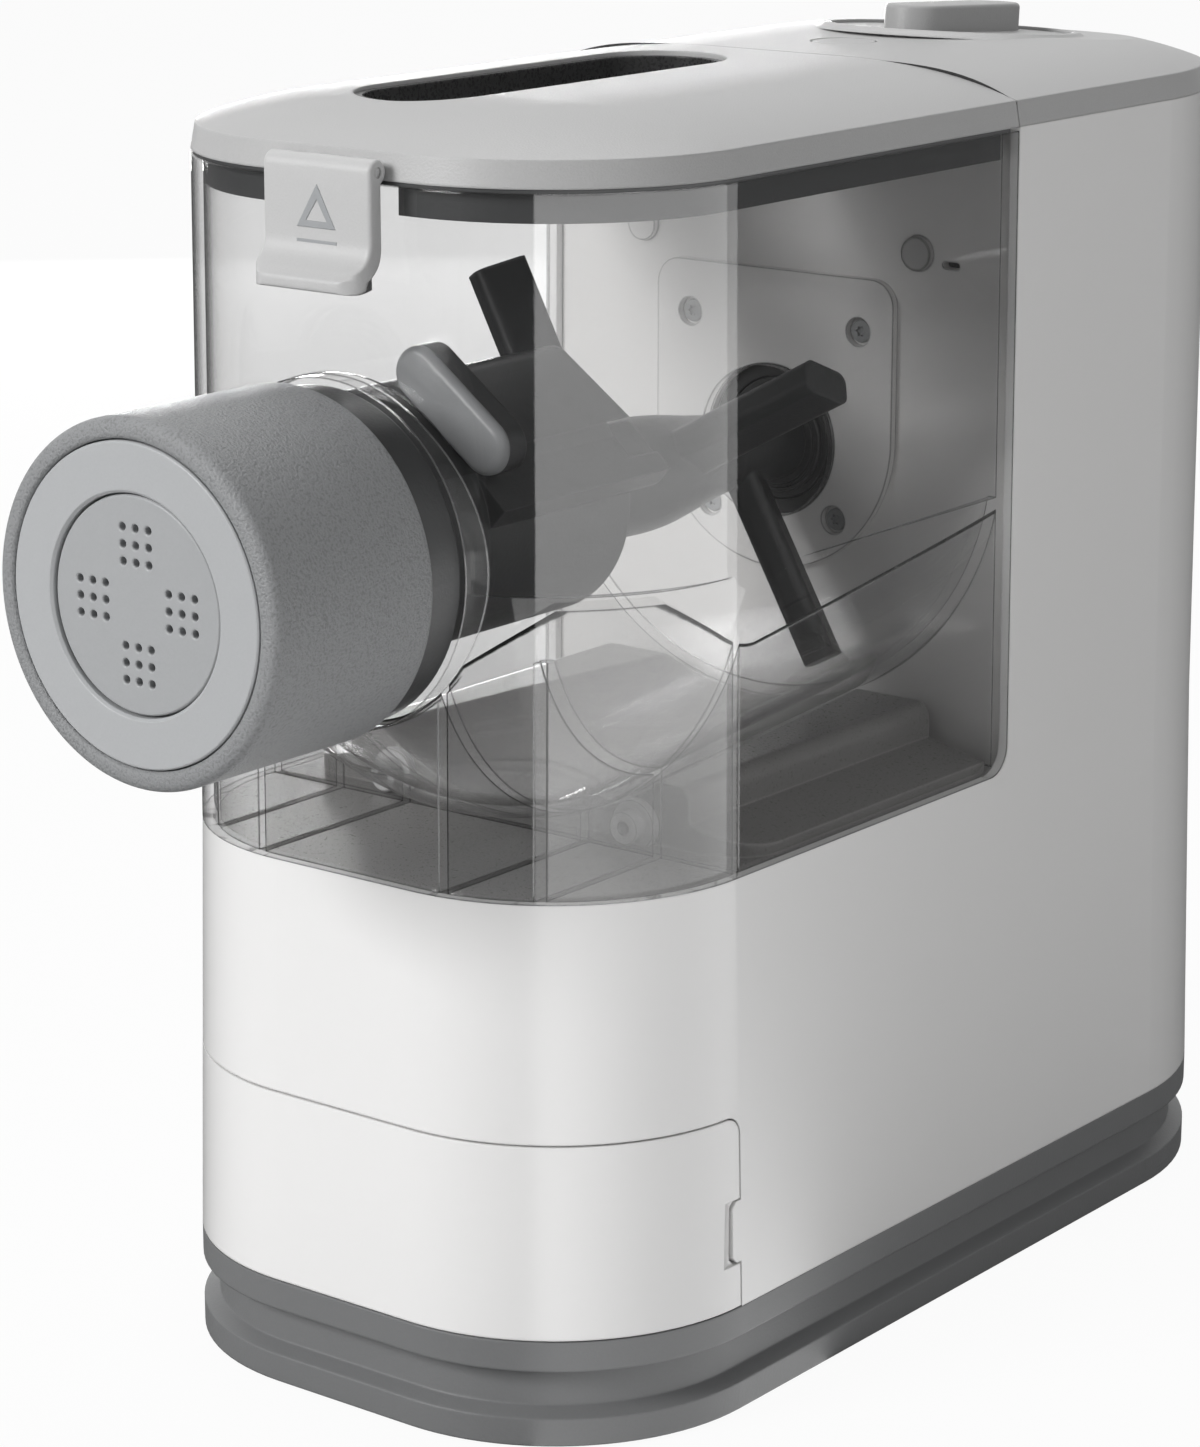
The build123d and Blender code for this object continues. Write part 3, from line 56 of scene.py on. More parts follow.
# ---------------------------------------------------------------- node helpers
class NodeSheet:
    """A node tree with short ways to add and join nodes.

    Attributes:
        edge_turn: Cosine between the softened normal and the face's own, on an edge and off it.
        edge_samples: Number of rays that look for an edge.
    """

    edge_turn: ClassVar[Flat] = (0.80, 0.985)
    edge_samples: ClassVar[int] = 4

    def __init__(self, tree: bpy.types.NodeTree) -> None:
        """Work on the node tree of a material or a world."""
        self.tree = tree

    @classmethod
    def material(cls, name: str) -> tuple["NodeSheet", bpy.types.Material]:
        """Start a material with an empty tree.

        Args:
            name: Name of the new material.

        Returns:
            The sheet and the material.
        """
        made = bpy.data.materials.new(name)
        made.use_nodes = True
        made.node_tree.nodes.clear()
        return cls(made.node_tree), made

    def add(self, kind: str, **settings: object) -> Node:
        """Add one node.

        Args:
            kind: Blender's node type.
            settings: Node properties, or socket values with underscores for spaces.

        Returns:
            The new node.
        """
        node = self.tree.nodes.new(kind)
        for key, value in settings.items():
            if hasattr(node, key):
                setattr(node, key, value)
            else:
                node.inputs[key.replace("_", " ")].default_value = value
        return node

    def join(self, source: Socket, target: Socket) -> None:
        """Link one socket to another."""
        self.tree.links.new(source, target)

    def end(self, surface: Socket) -> None:
        """Show a shader as the material's surface."""
        self.join(surface, self.add("ShaderNodeOutputMaterial").inputs["Surface"])

    def math(self, operation: str, first: Socket, second: Socket | float) -> Socket:
        """Combine two values.

        Args:
            operation: Name of the operation.
            first: First value.
            second: Second value, a socket or a number.

        Returns:
            The result.
        """
        node = self.add("ShaderNodeMath", operation=operation)
        self.join(first, node.inputs[0])
        if isinstance(second, (int, float)):
            node.inputs[1].default_value = second
        else:
            self.join(second, node.inputs[1])
        return node.outputs[0]

    def noise(self, size: float, detail: float, stretch: Point = (1, 1, 1)) -> Socket:
        """Add noise in the object's own space.

        Args:
            size: Size of one blotch in metres.
            detail: Octaves of the noise.
            stretch: Scale of the pattern along each axis.

        Returns:
            The noise value.
        """
        place = self.add("ShaderNodeTexCoord")
        mapping = self.add("ShaderNodeMapping", Scale=stretch)
        noise = self.add("ShaderNodeTexNoise", Scale=1.0 / size, Detail=detail)
        self.join(place.outputs["Object"], mapping.inputs["Vector"])
        self.join(mapping.outputs["Vector"], noise.inputs["Vector"])
        return noise.outputs["Fac"]

    def spread(self, source: Socket, low: float, high: float, start: float = 0.3,
               end: float = 0.7) -> Socket:
        """Map a value to a range.

        Args:
            source: The value.
            low: Result at the start.
            high: Result at the end.
            start: Value that gives the low result.
            end: Value that gives the high result.

        Returns:
            The mapped value.
        """
        ramp = self.add("ShaderNodeMapRange", From_Min=start, From_Max=end, To_Min=low, To_Max=high)
        self.join(source, ramp.inputs["Value"])
        return ramp.outputs["Result"]

    def tint(self, source: Socket, dark: Colour | Socket, light: Colour) -> Socket:
        """Mix two colours by a value.

        Args:
            source: Value between 0 and 1.
            dark: Colour at 0, given or from a socket.
            light: Colour at 1.

        Returns:
            The mixed colour.
        """
        mix = self.add("ShaderNodeMix", data_type="RGBA")
        self.join(source, mix.inputs["Factor"])
        first, second = [socket for socket in mix.inputs if socket.type == "RGBA"]
        second.default_value = (*light, 1)
        if isinstance(dark, Socket):
            self.join(dark, first)
        else:
            first.default_value = (*dark, 1)
        return next(socket for socket in mix.outputs if socket.type == "RGBA")

    def blend(self, share: Socket, first: Socket, second: Socket) -> Socket:
        """Mix two shaders.

        Args:
            share: Share of the second shader.
            first: First shader.
            second: Second shader.

        Returns:
            The mixed shader.
        """
        mix = self.add("ShaderNodeMixShader")
        for source, target in zip((share, first, second), mix.inputs):
            self.join(source, target)
        return mix.outputs[0]

    def edge(self, radius: float) -> tuple[Socket, Socket]:
        """Soften hard edges and find them.

        Args:
            radius: Radius over which an edge is softened, in metres.

        Returns:
            The softened normal, and a value that is 1 on an edge and 0 on a plain face.
        """
        bevel = self.add("ShaderNodeBevel", samples=self.edge_samples, Radius=radius)
        face = self.add("ShaderNodeNewGeometry")
        dot = self.add("ShaderNodeVectorMath", operation="DOT_PRODUCT")
        self.join(bevel.outputs["Normal"], dot.inputs[0])
        self.join(face.outputs["Normal"], dot.inputs[1])
        return bevel.outputs["Normal"], self.spread(dot.outputs["Value"], 1.0, 0.0, *self.edge_turn)

    def sector(self, direction: Socket, centre: Flat, start: float, end: float) -> Socket:
        """Find what lies within a range of bearings, counted from -Y towards +X.

        Args:
            direction: Place or direction.
            centre: Point that the bearings are counted about.
            start: First bearing in degrees.
            end: Last bearing in degrees.

        Returns:
            1 inside the range and 0 outside.
        """
        split = self.add("ShaderNodeSeparateXYZ")
        self.join(direction, split.inputs[0])
        right = self.math("SUBTRACT", split.outputs[0], centre[0])
        back = self.math("SUBTRACT", split.outputs[1], centre[1])
        bearing = self.math("ARCTAN2", right, self.math("MULTIPLY", back, -1.0))
        after = self.math("GREATER_THAN", bearing, math.radians(start))
        before = self.math("LESS_THAN", bearing, math.radians(end))
        return self.math("MULTIPLY", after, before)


def grey(level: float, warmth: float = 0.0) -> Colour:
    """Linear colour of a grey.

    Args:
        level: Linear brightness.
        warmth: Share added to red and taken from blue.

    Returns:
        The colour.
    """
    return (level * (1 + warmth), level, level * (1 - warmth))


def shaded(colour: Colour, share: float) -> Colour:
    """The colour made lighter or darker by a share."""
    return tuple(min(1.0, channel * (1 + share)) for channel in colour)


# ---------------------------------------------------------------- finishes
@dataclass(frozen=True)
class Moulding:
    """Injection-moulded plastic with fine spark-eroded grain; its edges take a painted highlight,
    and painted shade where the lift is negative.

    Attributes:
        slot: The record's material slot; not used.
        colour: Linear base colour.
        roughness: Mean roughness.
        grain: Size of the grain in metres.
        depth: Strength of the grain's bump.
        blotch: Share by which the colour wanders.
        fleck: How much of the fleck colour a raised grain takes on.
        edge: Radius of the softened edges in metres.
        painted_edge_strength: Strength of the light and shade painted on the edges.
        painted_edge_lift: Share by which that painted edge colour is lighter than the face's, as a
            highlight; below zero it is darker, as painted shade.
        coat: Weight of a glossy skin.
        coat_roughness: Roughness of that skin.
        index: Refractive index.
        blotch_size: Size of a blotch in metres.
        fleck_span: Heights of the grain between which a fleck comes up.
        fleck_light: Share by which a fleck is lighter than the face.
        swing: How far the grain moves the roughness down and up.
        grain_detail: Octaves of the grain.
        blotch_detail: Octaves of the blotches.
    """

    slot: str
    colour: Colour
    roughness: float = 0.45
    grain: float = 0.0006
    depth: float = 0.12
    blotch: float = 0.03
    fleck: float = 0.08
    edge: float = 0.0004
    painted_edge_strength: float = 0.25
    painted_edge_lift: float = 0.9
    coat: float = 0.0
    coat_roughness: ClassVar[float] = 0.26
    index: ClassVar[float] = 1.49
    blotch_size: ClassVar[float] = 0.05
    fleck_span: ClassVar[Flat] = (0.35, 0.65)
    fleck_light: ClassVar[float] = 0.35
    swing: ClassVar[Flat] = (-0.04, 0.05)
    grain_detail: ClassVar[float] = 4.0
    blotch_detail: ClassVar[float] = 2.0

    def build(self, name: str) -> bpy.types.Material:
        """Make the material.

        Args:
            name: Name of the material.

        Returns:
            The material.
        """
        sheet, made = NodeSheet.material(name)
        shader = sheet.add("ShaderNodeBsdfPrincipled", IOR=self.index, Coat_Weight=self.coat,
                           Coat_Roughness=self.coat_roughness)
        normal, edge = sheet.edge(self.edge)
        fine = sheet.noise(self.grain, self.grain_detail)
        blotches = sheet.noise(self.blotch_size, self.blotch_detail)
        wide = sheet.tint(blotches, shaded(self.colour, -self.blotch),
                          shaded(self.colour, self.blotch))
        raised = sheet.spread(fine, 0.0, 1.0, *self.fleck_span)
        grained = sheet.tint(sheet.math("MULTIPLY", raised, self.fleck), wide,
                             shaded(self.colour, self.fleck_light))
        # Painted light on the edges: a lighter colour as a highlight, and a darker one as shade
        # where the lift is negative.
        edge_painted = sheet.tint(sheet.math("MULTIPLY", edge, self.painted_edge_strength), grained,
                          shaded(self.colour, self.painted_edge_lift))
        sheet.join(edge_painted, shader.inputs["Base Color"])
        rough = sheet.spread(fine, *(self.roughness + swing for swing in self.swing))
        sheet.join(rough, shader.inputs["Roughness"])
        bump = sheet.add("ShaderNodeBump", Strength=self.depth, Distance=self.grain)
        sheet.join(fine, bump.inputs["Height"])
        sheet.join(normal, bump.inputs["Normal"])
        sheet.join(bump.outputs["Normal"], shader.inputs["Normal"])
        sheet.end(shader.outputs["BSDF"])
        return made


@dataclass(frozen=True)
class ClearMoulding:
    """Clear, slightly smoky plastic, with painted shade on its cut edges and on rims that turn
    away.

    Attributes:
        slot: The record's material slot; not used.
        tint: Tint of light that passes one face.
        painted_edge_shade: Tint painted as shade on a cut edge and a rim, for the dark lines that
            refraction draws.
        edge: Width of an edge line in metres.
        gloss: Share of light that a face turns back when seen squarely.
        roughness: Least roughness of the polished faces; their streaks reach twice it.
        streak: Size of a streak in metres.
        streak_detail: Octaves of the streaks.
        line_span: Sharpness of an edge between which its painted dark line comes up.
        line_gloss: Share of light that an edge line turns back on top.
        rim: Strength of the painted shade on a rim.
        rim_span: How far a face turns away between which its rim comes up.
        grazing: Power by which the gloss grows as a face turns away.
        shadow_lift: Share by which a shadow is lighter than the tint.
    """

    slot: str
    tint: Colour
    painted_edge_shade: Colour
    edge: float = 0.0007
    gloss: float = 0.045
    roughness: float = 0.02
    streak: float = 0.03
    streak_detail: float = 2.0
    line_span: Flat = (0.02, 0.40)
    line_gloss: float = 0.10
    rim: float = 0.8
    rim_span: Flat = (0.72, 1.0)
    grazing: float = 4.5
    shadow_lift: float = 0.04

    def build(self, name: str) -> bpy.types.Material:
        """Make the material.

        Args:
            name: Name of the material.

        Returns:
            The material.
        """
        sheet, made = NodeSheet.material(name)
        normal, soft_line = sheet.edge(self.edge)
        line = sheet.spread(soft_line, 0.0, 1.0, *self.line_span)
        facing = sheet.add("ShaderNodeLayerWeight").outputs["Facing"]
        # Painted shade: cut edges and faces turned away from the view take a darker tint in place
        # of refraction's dark lines.
        rim = sheet.math("MAXIMUM", line, sheet.spread(facing, 0.0, self.rim, *self.rim_span))
        through = sheet.add("ShaderNodeBsdfTransparent")
        sheet.join(sheet.tint(rim, self.tint, self.painted_edge_shade), through.inputs["Color"])
        skin = sheet.add("ShaderNodeBsdfPrincipled", Metallic=1.0, Base_Color=WHITE)
        streaks = sheet.noise(self.streak, self.streak_detail)
        polish = sheet.spread(streaks, self.roughness, 2 * self.roughness)
        sheet.join(polish, skin.inputs["Roughness"])
        sheet.join(normal, skin.inputs["Normal"])
        grazing = sheet.math("POWER", facing, self.grazing)
        share = sheet.math("ADD", sheet.math("MULTIPLY", grazing, 1 - self.gloss), self.gloss)
        lined = sheet.math("ADD", share, sheet.math("MULTIPLY", line, self.line_gloss))
        body = sheet.blend(lined, through.outputs[0], skin.outputs[0])
        shade = sheet.add("ShaderNodeBsdfTransparent",
                          Color=(*shaded(self.tint, self.shadow_lift), 1))
        path = sheet.add("ShaderNodeLightPath")
        sheet.end(sheet.blend(path.outputs["Is Shadow Ray"], body, shade.outputs[0]))
        return made


@dataclass(frozen=True)
class TurnedMetal:
    """Machined metal with fine turning lines.

    Attributes:
        slot: The record's material slot; not used.
        colour: Linear base colour.
        roughness: Mean roughness.
        line: Length of a turning line in metres.
        line_detail: Octaves of the lines.
        squeeze: How closely the lines stand along each axis.
        tone: Share by which the lines darken and lighten the colour.
        swing: How far the lines move the roughness down and up.
        edge: Radius of the softened edges in metres.
    """

    slot: str
    colour: Colour
    roughness: float
    line: ClassVar[float] = 0.004
    line_detail: ClassVar[float] = 5.0
    squeeze: ClassVar[Point] = (1, 14, 1)
    tone: ClassVar[Flat] = (-0.15, 0.1)
    swing: ClassVar[Flat] = (-0.08, 0.1)
    edge: ClassVar[float] = 0.0003

    def build(self, name: str) -> bpy.types.Material:
        """Make the material.

        Args:
            name: Name of the material.

        Returns:
            The material.
        """
        sheet, made = NodeSheet.material(name)
        shader = sheet.add("ShaderNodeBsdfPrincipled", Metallic=1.0)
        lines = sheet.noise(self.line, self.line_detail, self.squeeze)
        tone = sheet.tint(lines, *(shaded(self.colour, share) for share in self.tone))
        sheet.join(tone, shader.inputs["Base Color"])
        rough = sheet.spread(lines, *(self.roughness + swing for swing in self.swing))
        sheet.join(rough, shader.inputs["Roughness"])
        sheet.join(sheet.edge(self.edge)[0], shader.inputs["Normal"])
        sheet.end(shader.outputs["BSDF"])
        return made


class Finish(Enum):
    """Every finish on the machine."""

    # Each moulding's edges are painted lighter as a highlight, unless its lift is below zero.
    GLOSS_WHITE = Moulding("gloss_white", grey(0.845, 0.006), roughness=0.34, grain=0.0005,
                           depth=0.012, blotch=0.006, fleck=0.0, edge=0.0006, painted_edge_strength=0.10, coat=1.0)
    BASE_GREY = Moulding("base_grey", grey(0.175, -0.015), roughness=0.42, depth=0.10, edge=0.0007,
                         painted_edge_strength=0.20)
    LID_GREY = Moulding("warm_grey", grey(0.42), roughness=0.42, grain=0.00045, depth=0.20,
                        fleck=0.12, edge=0.0008, painted_edge_strength=0.30)
    LATCH_GREY = Moulding("warm_grey", grey(0.50), roughness=0.40, grain=0.00045, depth=0.14)
    KNOB_GREY = Moulding("warm_grey", grey(0.34), roughness=0.42, grain=0.00045, depth=0.20,
                         fleck=0.12, painted_edge_strength=0.30)
    MARK = Moulding("ring_grey", grey(0.33, -0.03), roughness=0.40, grain=0.0004, depth=0.05)
    DECK = Moulding("deck_grey", grey(0.215, 0.02), roughness=0.30, depth=0.06, edge=0.0010,
                    painted_edge_strength=0.65)
    # Panel and plunger edges are painted darker, as shade in their outlines and grooves.
    PANEL = Moulding("deck_grey", grey(0.80, 0.012), roughness=0.42, depth=0.05, edge=0.0007,
                     painted_edge_strength=2.5, painted_edge_lift=-0.8)
    PLUNGER = Moulding("deck_grey", grey(0.48, 0.01), roughness=0.40, depth=0.05, edge=0.0012,
                       painted_edge_strength=2.0, painted_edge_lift=-0.7)
    CHARCOAL = Moulding("charcoal", grey(0.026, -0.03), roughness=0.38, grain=0.0007, depth=0.08,
                        blotch=0.05, edge=0.0012, painted_edge_strength=0.9)
    TUBE = Moulding("charcoal", grey(0.040, -0.02), roughness=0.36, grain=0.0007, depth=0.08,
                    blotch=0.05, edge=0.0006, painted_edge_strength=0.9)
    GASKET = Moulding("charcoal", grey(0.055, -0.02), roughness=0.40, grain=0.0007, depth=0.06,
                      blotch=0.05)
    SLOT_DARK = Moulding("charcoal", grey(0.030), roughness=0.28, grain=0.0007, depth=0.03,
                         blotch=0.05, edge=0.0005, painted_edge_strength=0.9)
    NUT_SIDE = Moulding("nut_grey", grey(0.20, -0.02), roughness=0.46, grain=0.00060, depth=0.60,
                        blotch=0.04, fleck=2.0, edge=0.0022, painted_edge_strength=0.45)
    SCREW_HEAD = Moulding("nut_grey", grey(0.30, -0.02), roughness=0.40, grain=0.0007, depth=0.10)
    RING_FACE = Moulding("ring_grey", grey(0.41, -0.02), roughness=0.36, depth=0.04, blotch=0.02)
    DISC_FACE = Moulding("ring_grey", grey(0.36, -0.02), roughness=0.38, depth=0.05, blotch=0.02)
    LUG_FACE = Moulding("nut_grey", grey(0.29, -0.02), roughness=0.34, depth=0.04, blotch=0.02,
                        edge=0.0006)
    TRAY = Moulding("tray_grey", grey(0.60), roughness=0.45, grain=0.0007, depth=0.08, blotch=0.02)
    BLACK = Moulding("switch_black", grey(0.018), roughness=0.45, grain=0.0007, depth=0.10,
                     blotch=0.05)
    COUPLING = Moulding("charcoal", grey(0.028, -0.02), roughness=0.34, grain=0.0006, depth=0.06,
                        edge=0.0003, painted_edge_strength=1.8)
    # Black rubber of the feet; the same finish paints the shade strip in the cover's seam.
    RUBBER = Moulding("rubber_black", grey(0.02), roughness=0.75, grain=0.0010, depth=0.30,
                      blotch=0.06)
    GEAR = Moulding("gear_plastic", grey(0.66, 0.06), roughness=0.42, grain=0.0008, depth=0.08)
    BOARD = Moulding("board_green", (0.03, 0.12, 0.05), roughness=0.35, grain=0.0015, depth=0.15,
                     blotch=0.10, coat=0.3)
    MOTOR = Moulding("motor_steel", grey(0.09), roughness=0.38, grain=0.0010, depth=0.12,
                     blotch=0.06)
    STEEL = TurnedMetal("steel", grey(0.55), roughness=0.28)
    BRONZE = TurnedMetal("sinter_bronze", (0.50, 0.30, 0.12), roughness=0.42)
    CLEAR = ClearMoulding("clear_plastic", grey(0.948), painted_edge_shade=grey(0.05))


class Finisher:
    """Builds each finish once and puts it on pieces."""

    def __init__(self) -> None:
        """Start with no material built."""
        self._built: dict[Finish, bpy.types.Material] = {}

    def material(self, finish: Finish) -> bpy.types.Material:
        """The material of a finish, built on first use."""
        if finish not in self._built:
            self._built[finish] = finish.value.build(finish.name.lower())
        return self._built[finish]

    def dress(self, piece: Solid, finish: Finish) -> None:
        """Put one finish all over a mesh object or CAD node."""
        piece.data.materials.clear()
        piece.data.materials.append(self.material(finish))


# ---------------------------------------------------------------- mesh tools
class Mesher:
    """Builds closed meshes out of rings, profiles and cuts."""

    @staticmethod
    def stand(name: str, mesh: bpy.types.Mesh) -> Solid:
        """Put a mesh into the scene.

        Args:
            name: Name of the object.
            mesh: Its mesh.

        Returns:
            The object.
        """
        piece = bpy.data.objects.new(name, mesh)
        bpy.context.scene.collection.objects.link(piece)
        return piece

    @staticmethod
    def closed_mesh(name: str, points: list[Point], faces: list[Sequence[int]]) -> Solid:
        """Turn points and faces into an object with outward normals.

        Args:
            name: Name of the object.
            points: Vertices in metres.
            faces: Vertex indices of each face.

        Returns:
            The object.
        """
        mesh = bpy.data.meshes.new(name)
        mesh.from_pydata(points, [], faces)
        shape = bmesh.new()
        shape.from_mesh(mesh)
        bmesh.ops.remove_doubles(shape, verts=shape.verts, dist=WELD_GAP)
        bmesh.ops.recalc_face_normals(shape, faces=shape.faces)
        shape.to_mesh(mesh)
        shape.free()
        return Mesher.stand(name, mesh)

    @staticmethod
    def loft(name: str, rings: Sequence[Sequence[Point]], closed: bool = False) -> Solid:
        """Skin a row of rings of equal length.

        Args:
            name: Name of the object.
            rings: Rings of points, from one end to the other.
            closed: Whether the last ring joins the first, in place of end caps.

        Returns:
            The object.
        """
        count = len(rings[0])
        points = [point for ring in rings for point in ring]
        faces = []
        spans = len(rings) if closed else len(rings) - 1
        for row in range(spans):
            here, there = row * count, ((row + 1) % len(rings)) * count
            faces += [(here + i, here + (i + 1) % count, there + (i + 1) % count, there + i)
                      for i in range(count)]
        if not closed:
            faces.append(list(range(count))[::-1])
            faces.append([(len(rings) - 1) * count + i for i in range(count)])
        return Mesher.closed_mesh(name, points, faces)

    @staticmethod
    def extruded(name: str, outline: Sequence[Flat], place: Callable[[float, float, float], Point],
                 low: float, high: float) -> Solid:
        """Extrude a flat outline.

        Args:
            name: Name of the object.
            outline: Points of the outline.
            place: Turns (first, second, along) into a point in space.
            low: Start of the extrusion.
            high: End of the extrusion.

        Returns:
            The object.
        """
        rings = [[place(a, b, along) for a, b in outline] for along in (low, high)]
        return Mesher.loft(name, rings)

    @staticmethod
    def turned(name: str, profile: Sequence[Flat], axis: Flat, steps: int,
               closed: bool = False) -> Solid:
        """Turn a profile about an axis parallel to Y.

        Args:
            name: Name of the object.
            profile: Pairs of place along Y and radius.
            axis: Where the axis stands, across and up.
            steps: Facets round the axis.
            closed: Whether the profile is a closed loop clear of the axis.

        Returns:
            The object.
        """
        rings = [[in_front(a, b, along) for a, b in circle(axis, radius, steps)]
                 for along, radius in profile]
        return Mesher.loft(name, rings, closed)

    @staticmethod
    def merged(name: str, pieces: Iterable[Solid]) -> Solid:
        """Put separate closed meshes into one object.

        Args:
            name: Name of the object.
            pieces: The objects, which are used up.

        Returns:
            The object.
        """
        shape = bmesh.new()
        for piece in pieces:
            shape.from_mesh(piece.data)
            bpy.data.objects.remove(piece)
        mesh = bpy.data.meshes.new(name)
        shape.to_mesh(mesh)
        shape.free()
        return Mesher.stand(name, mesh)

    @staticmethod
    def combine(target: Solid, tools: Iterable[Solid], mode: str = "DIFFERENCE") -> Solid:
        """Cut, join or intersect a solid with others, which are used up.

        Args:
            target: The solid that stays.
            tools: The solids to apply.
            mode: DIFFERENCE, UNION or INTERSECT.

        Returns:
            The target.
        """
        for tool in tools:
            modifier = target.modifiers.new("cut", "BOOLEAN")
            modifier.operation = mode
            modifier.solver = "EXACT"
            modifier.object = tool
            bpy.context.view_layer.update()
            ready = target.evaluated_get(bpy.context.evaluated_depsgraph_get())
            mesh = bpy.data.meshes.new_from_object(ready)
            target.modifiers.remove(modifier)
            old, target.data = target.data, mesh
            bpy.data.meshes.remove(old)
            bpy.data.objects.remove(tool)
        return target

    @staticmethod
    def smooth(piece: Solid, angle: float = 32.0) -> None:
        """Shade smooth, with hard edges past an angle in degrees."""
        piece.data.polygons.foreach_set("use_smooth", [True] * len(piece.data.polygons))
        piece.data.set_sharp_from_angle(angle=math.radians(angle))


def arc(centre: Flat, radius: float, start: float, end: float, steps: int) -> list[Flat]:
    """Points on a circular arc.

    Args:
        centre: Centre of the arc.
        radius: Its radius.
        start: First angle in degrees.
        end: Last angle in degrees.
        steps: Spans along the arc.

    Returns:
        The points, both ends included.
    """
    angles = [math.radians(start + (end - start) * k / steps) for k in range(steps + 1)]
    return [(centre[0] + radius * math.cos(a), centre[1] + radius * math.sin(a)) for a in angles]


def circle(centre: Flat, radius: float, steps: int) -> list[Flat]:
    """Points of a whole circle, evenly spread."""
    return arc(centre, radius, 0, 360 - 360 / steps, steps - 1)


def bow(start: Flat, pull: Flat, end: Flat, steps: int) -> list[Flat]:
    """Points on a smooth bend between two ends.

    Args:
        start: First end.
        pull: Corner that the bend leans towards.
        end: Last end.
        steps: Spans along the bend.

    Returns:
        The points, both ends included.
    """
    points = []
    for k in range(steps + 1):
        t = k / steps
        weights = ((1 - t) ** 2, 2 * t * (1 - t), t ** 2)
        points.append(tuple(sum(w * p[i] for w, p in zip(weights, (start, pull, end)))
                            for i in (0, 1)))
    return points


def stadium(centre: Flat, half_width: float, length: float, steps: int,
            turn: float = 0.0) -> list[Flat]:
    """Outline of a slot with round ends, long side along the second axis.

    Args:
        centre: Middle of the slot.
        half_width: Radius of its ends.
        length: Its whole length.
        steps: Spans along each round end.
        turn: Turn of the slot in degrees.

    Returns:
        The outline.
    """
    reach = length / 2 - half_width
    flat = (arc((0, reach), half_width, 0, 180, steps)
            + arc((0, -reach), half_width, 180, 360, steps))
    cos, sin = math.cos(math.radians(turn)), math.sin(math.radians(turn))
    return [(centre[0] + a * cos - b * sin, centre[1] + a * sin + b * cos) for a, b in flat]


def rounding(radius: float, steps: int = 6) -> list[Flat]:
    """Insets and heights of a rounded edge, from its foot to its top.

    Args:
        radius: Radius of the edge.
        steps: Spans along it.

    Returns:
        Pairs of inset and height above the foot.
    """
    return [(radius * (1 - math.cos(a)), radius * math.sin(a))
            for a in (math.pi / 2 * k / steps for k in range(steps + 1))]


def in_front(a: float, b: float, along: float) -> Point:
    """Point of an outline seen from the nose: across, up."""
    return (a, along, b)


def in_side(a: float, b: float, along: float) -> Point:
    """Point of an outline seen from the side: along the machine, up."""
    return (along, a, b)


# ---------------------------------------------------------------- sub-assemblies
@dataclass
class SubAssembly:
    """Part of the machine that dresses its nodes and may build finer pieces."""

    finisher: Finisher
    body: ClassVar[str] = "machine"
    finishes: ClassVar[dict[str, Finish]] = {}

    def dress(self) -> None:
        """Put the finishes on the CAD nodes."""
        for node, finish in self.finishes.items():
            self.finisher.dress(NODES[node], finish)
            LOG.info("%s wears %s", node, finish.name)

    def adopt(self, piece: Solid, finish: Finish, *stands_for: str) -> None:
        """Finish a built piece and fix it to its body.

        Args:
            piece: The new object.
            finish: Its finish.
            stands_for: CAD nodes that it takes the place of.
        """
        Mesher.smooth(piece)
        self.finisher.dress(piece, finish)
        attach(piece, self.body)
        if stands_for:
            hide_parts(*stands_for)
        LOG.info("built %s with %d faces", piece.name, len(piece.data.polygons))

    def build(self) -> None:
        """Dress the nodes; sub-assemblies with finer pieces build them too."""
        self.dress()


@dataclass
class Base(SubAssembly):
    """Grey base with its rubber feet and screws."""

    finishes: ClassVar[dict[str, Finish]] = {
        "base_tray": Finish.BASE_GREY, "rubber_feet": Finish.RUBBER, "base_screws": Finish.STEEL}


@dataclass
class Housing(SubAssembly):
    """White housing, the deck under the tub with its two nozzles, and the power inlet.

    Attributes:
        nozzle_x: Side offset of each nozzle.
        nozzle_z: Height of the nozzles.
        root_y: Face of the deck that they stand on.
        boss_y: Front face of their boss.
        tip_y: Tip of the nozzles.
        radii: Radius of the bore, the nozzle and the boss.
        edge: Chamfer of the edges.
        facets: Facets round a nozzle.
    """

    nozzle_x: float = 0.033
    nozzle_z: float = 0.1207
    root_y: float = -0.0518
    boss_y: float = -0.0540
    tip_y: float = -0.0572
    radii: Point = (0.0013, 0.0036, 0.0055)
    edge: float = 0.0004
    facets: int = 48
    finishes: ClassVar[dict[str, Finish]] = {
        "body_shell": Finish.GLOSS_WHITE, "deck_tray": Finish.DECK, "power_inlet": Finish.BLACK}

    def nozzle(self, name: str, x: float) -> Solid:
        """Pale sleeve over one nozzle.

        Args:
            name: Name of the sleeve.
            x: Side offset of the nozzle.

        Returns:
            The sleeve.
        """
        (bore, tube, boss), edge = self.radii, self.edge
        profile = [(self.root_y, bore), (self.tip_y + edge, bore), (self.tip_y, bore + edge),
                   (self.tip_y, tube - edge), (self.tip_y + edge, tube), (self.boss_y, tube),
                   (self.boss_y, boss - edge), (self.boss_y + edge, boss), (self.root_y, boss)]
        return Mesher.turned(name, profile, (x, self.nozzle_z), self.facets, closed=True)

    def build(self) -> None:
        """Dress the housing and build the nozzles."""
        self.dress()
        for name, x in (("nozzle_right", self.nozzle_x), ("nozzle_left", -self.nozzle_x)):
            self.adopt(self.nozzle(name, x), Finish.TRAY)


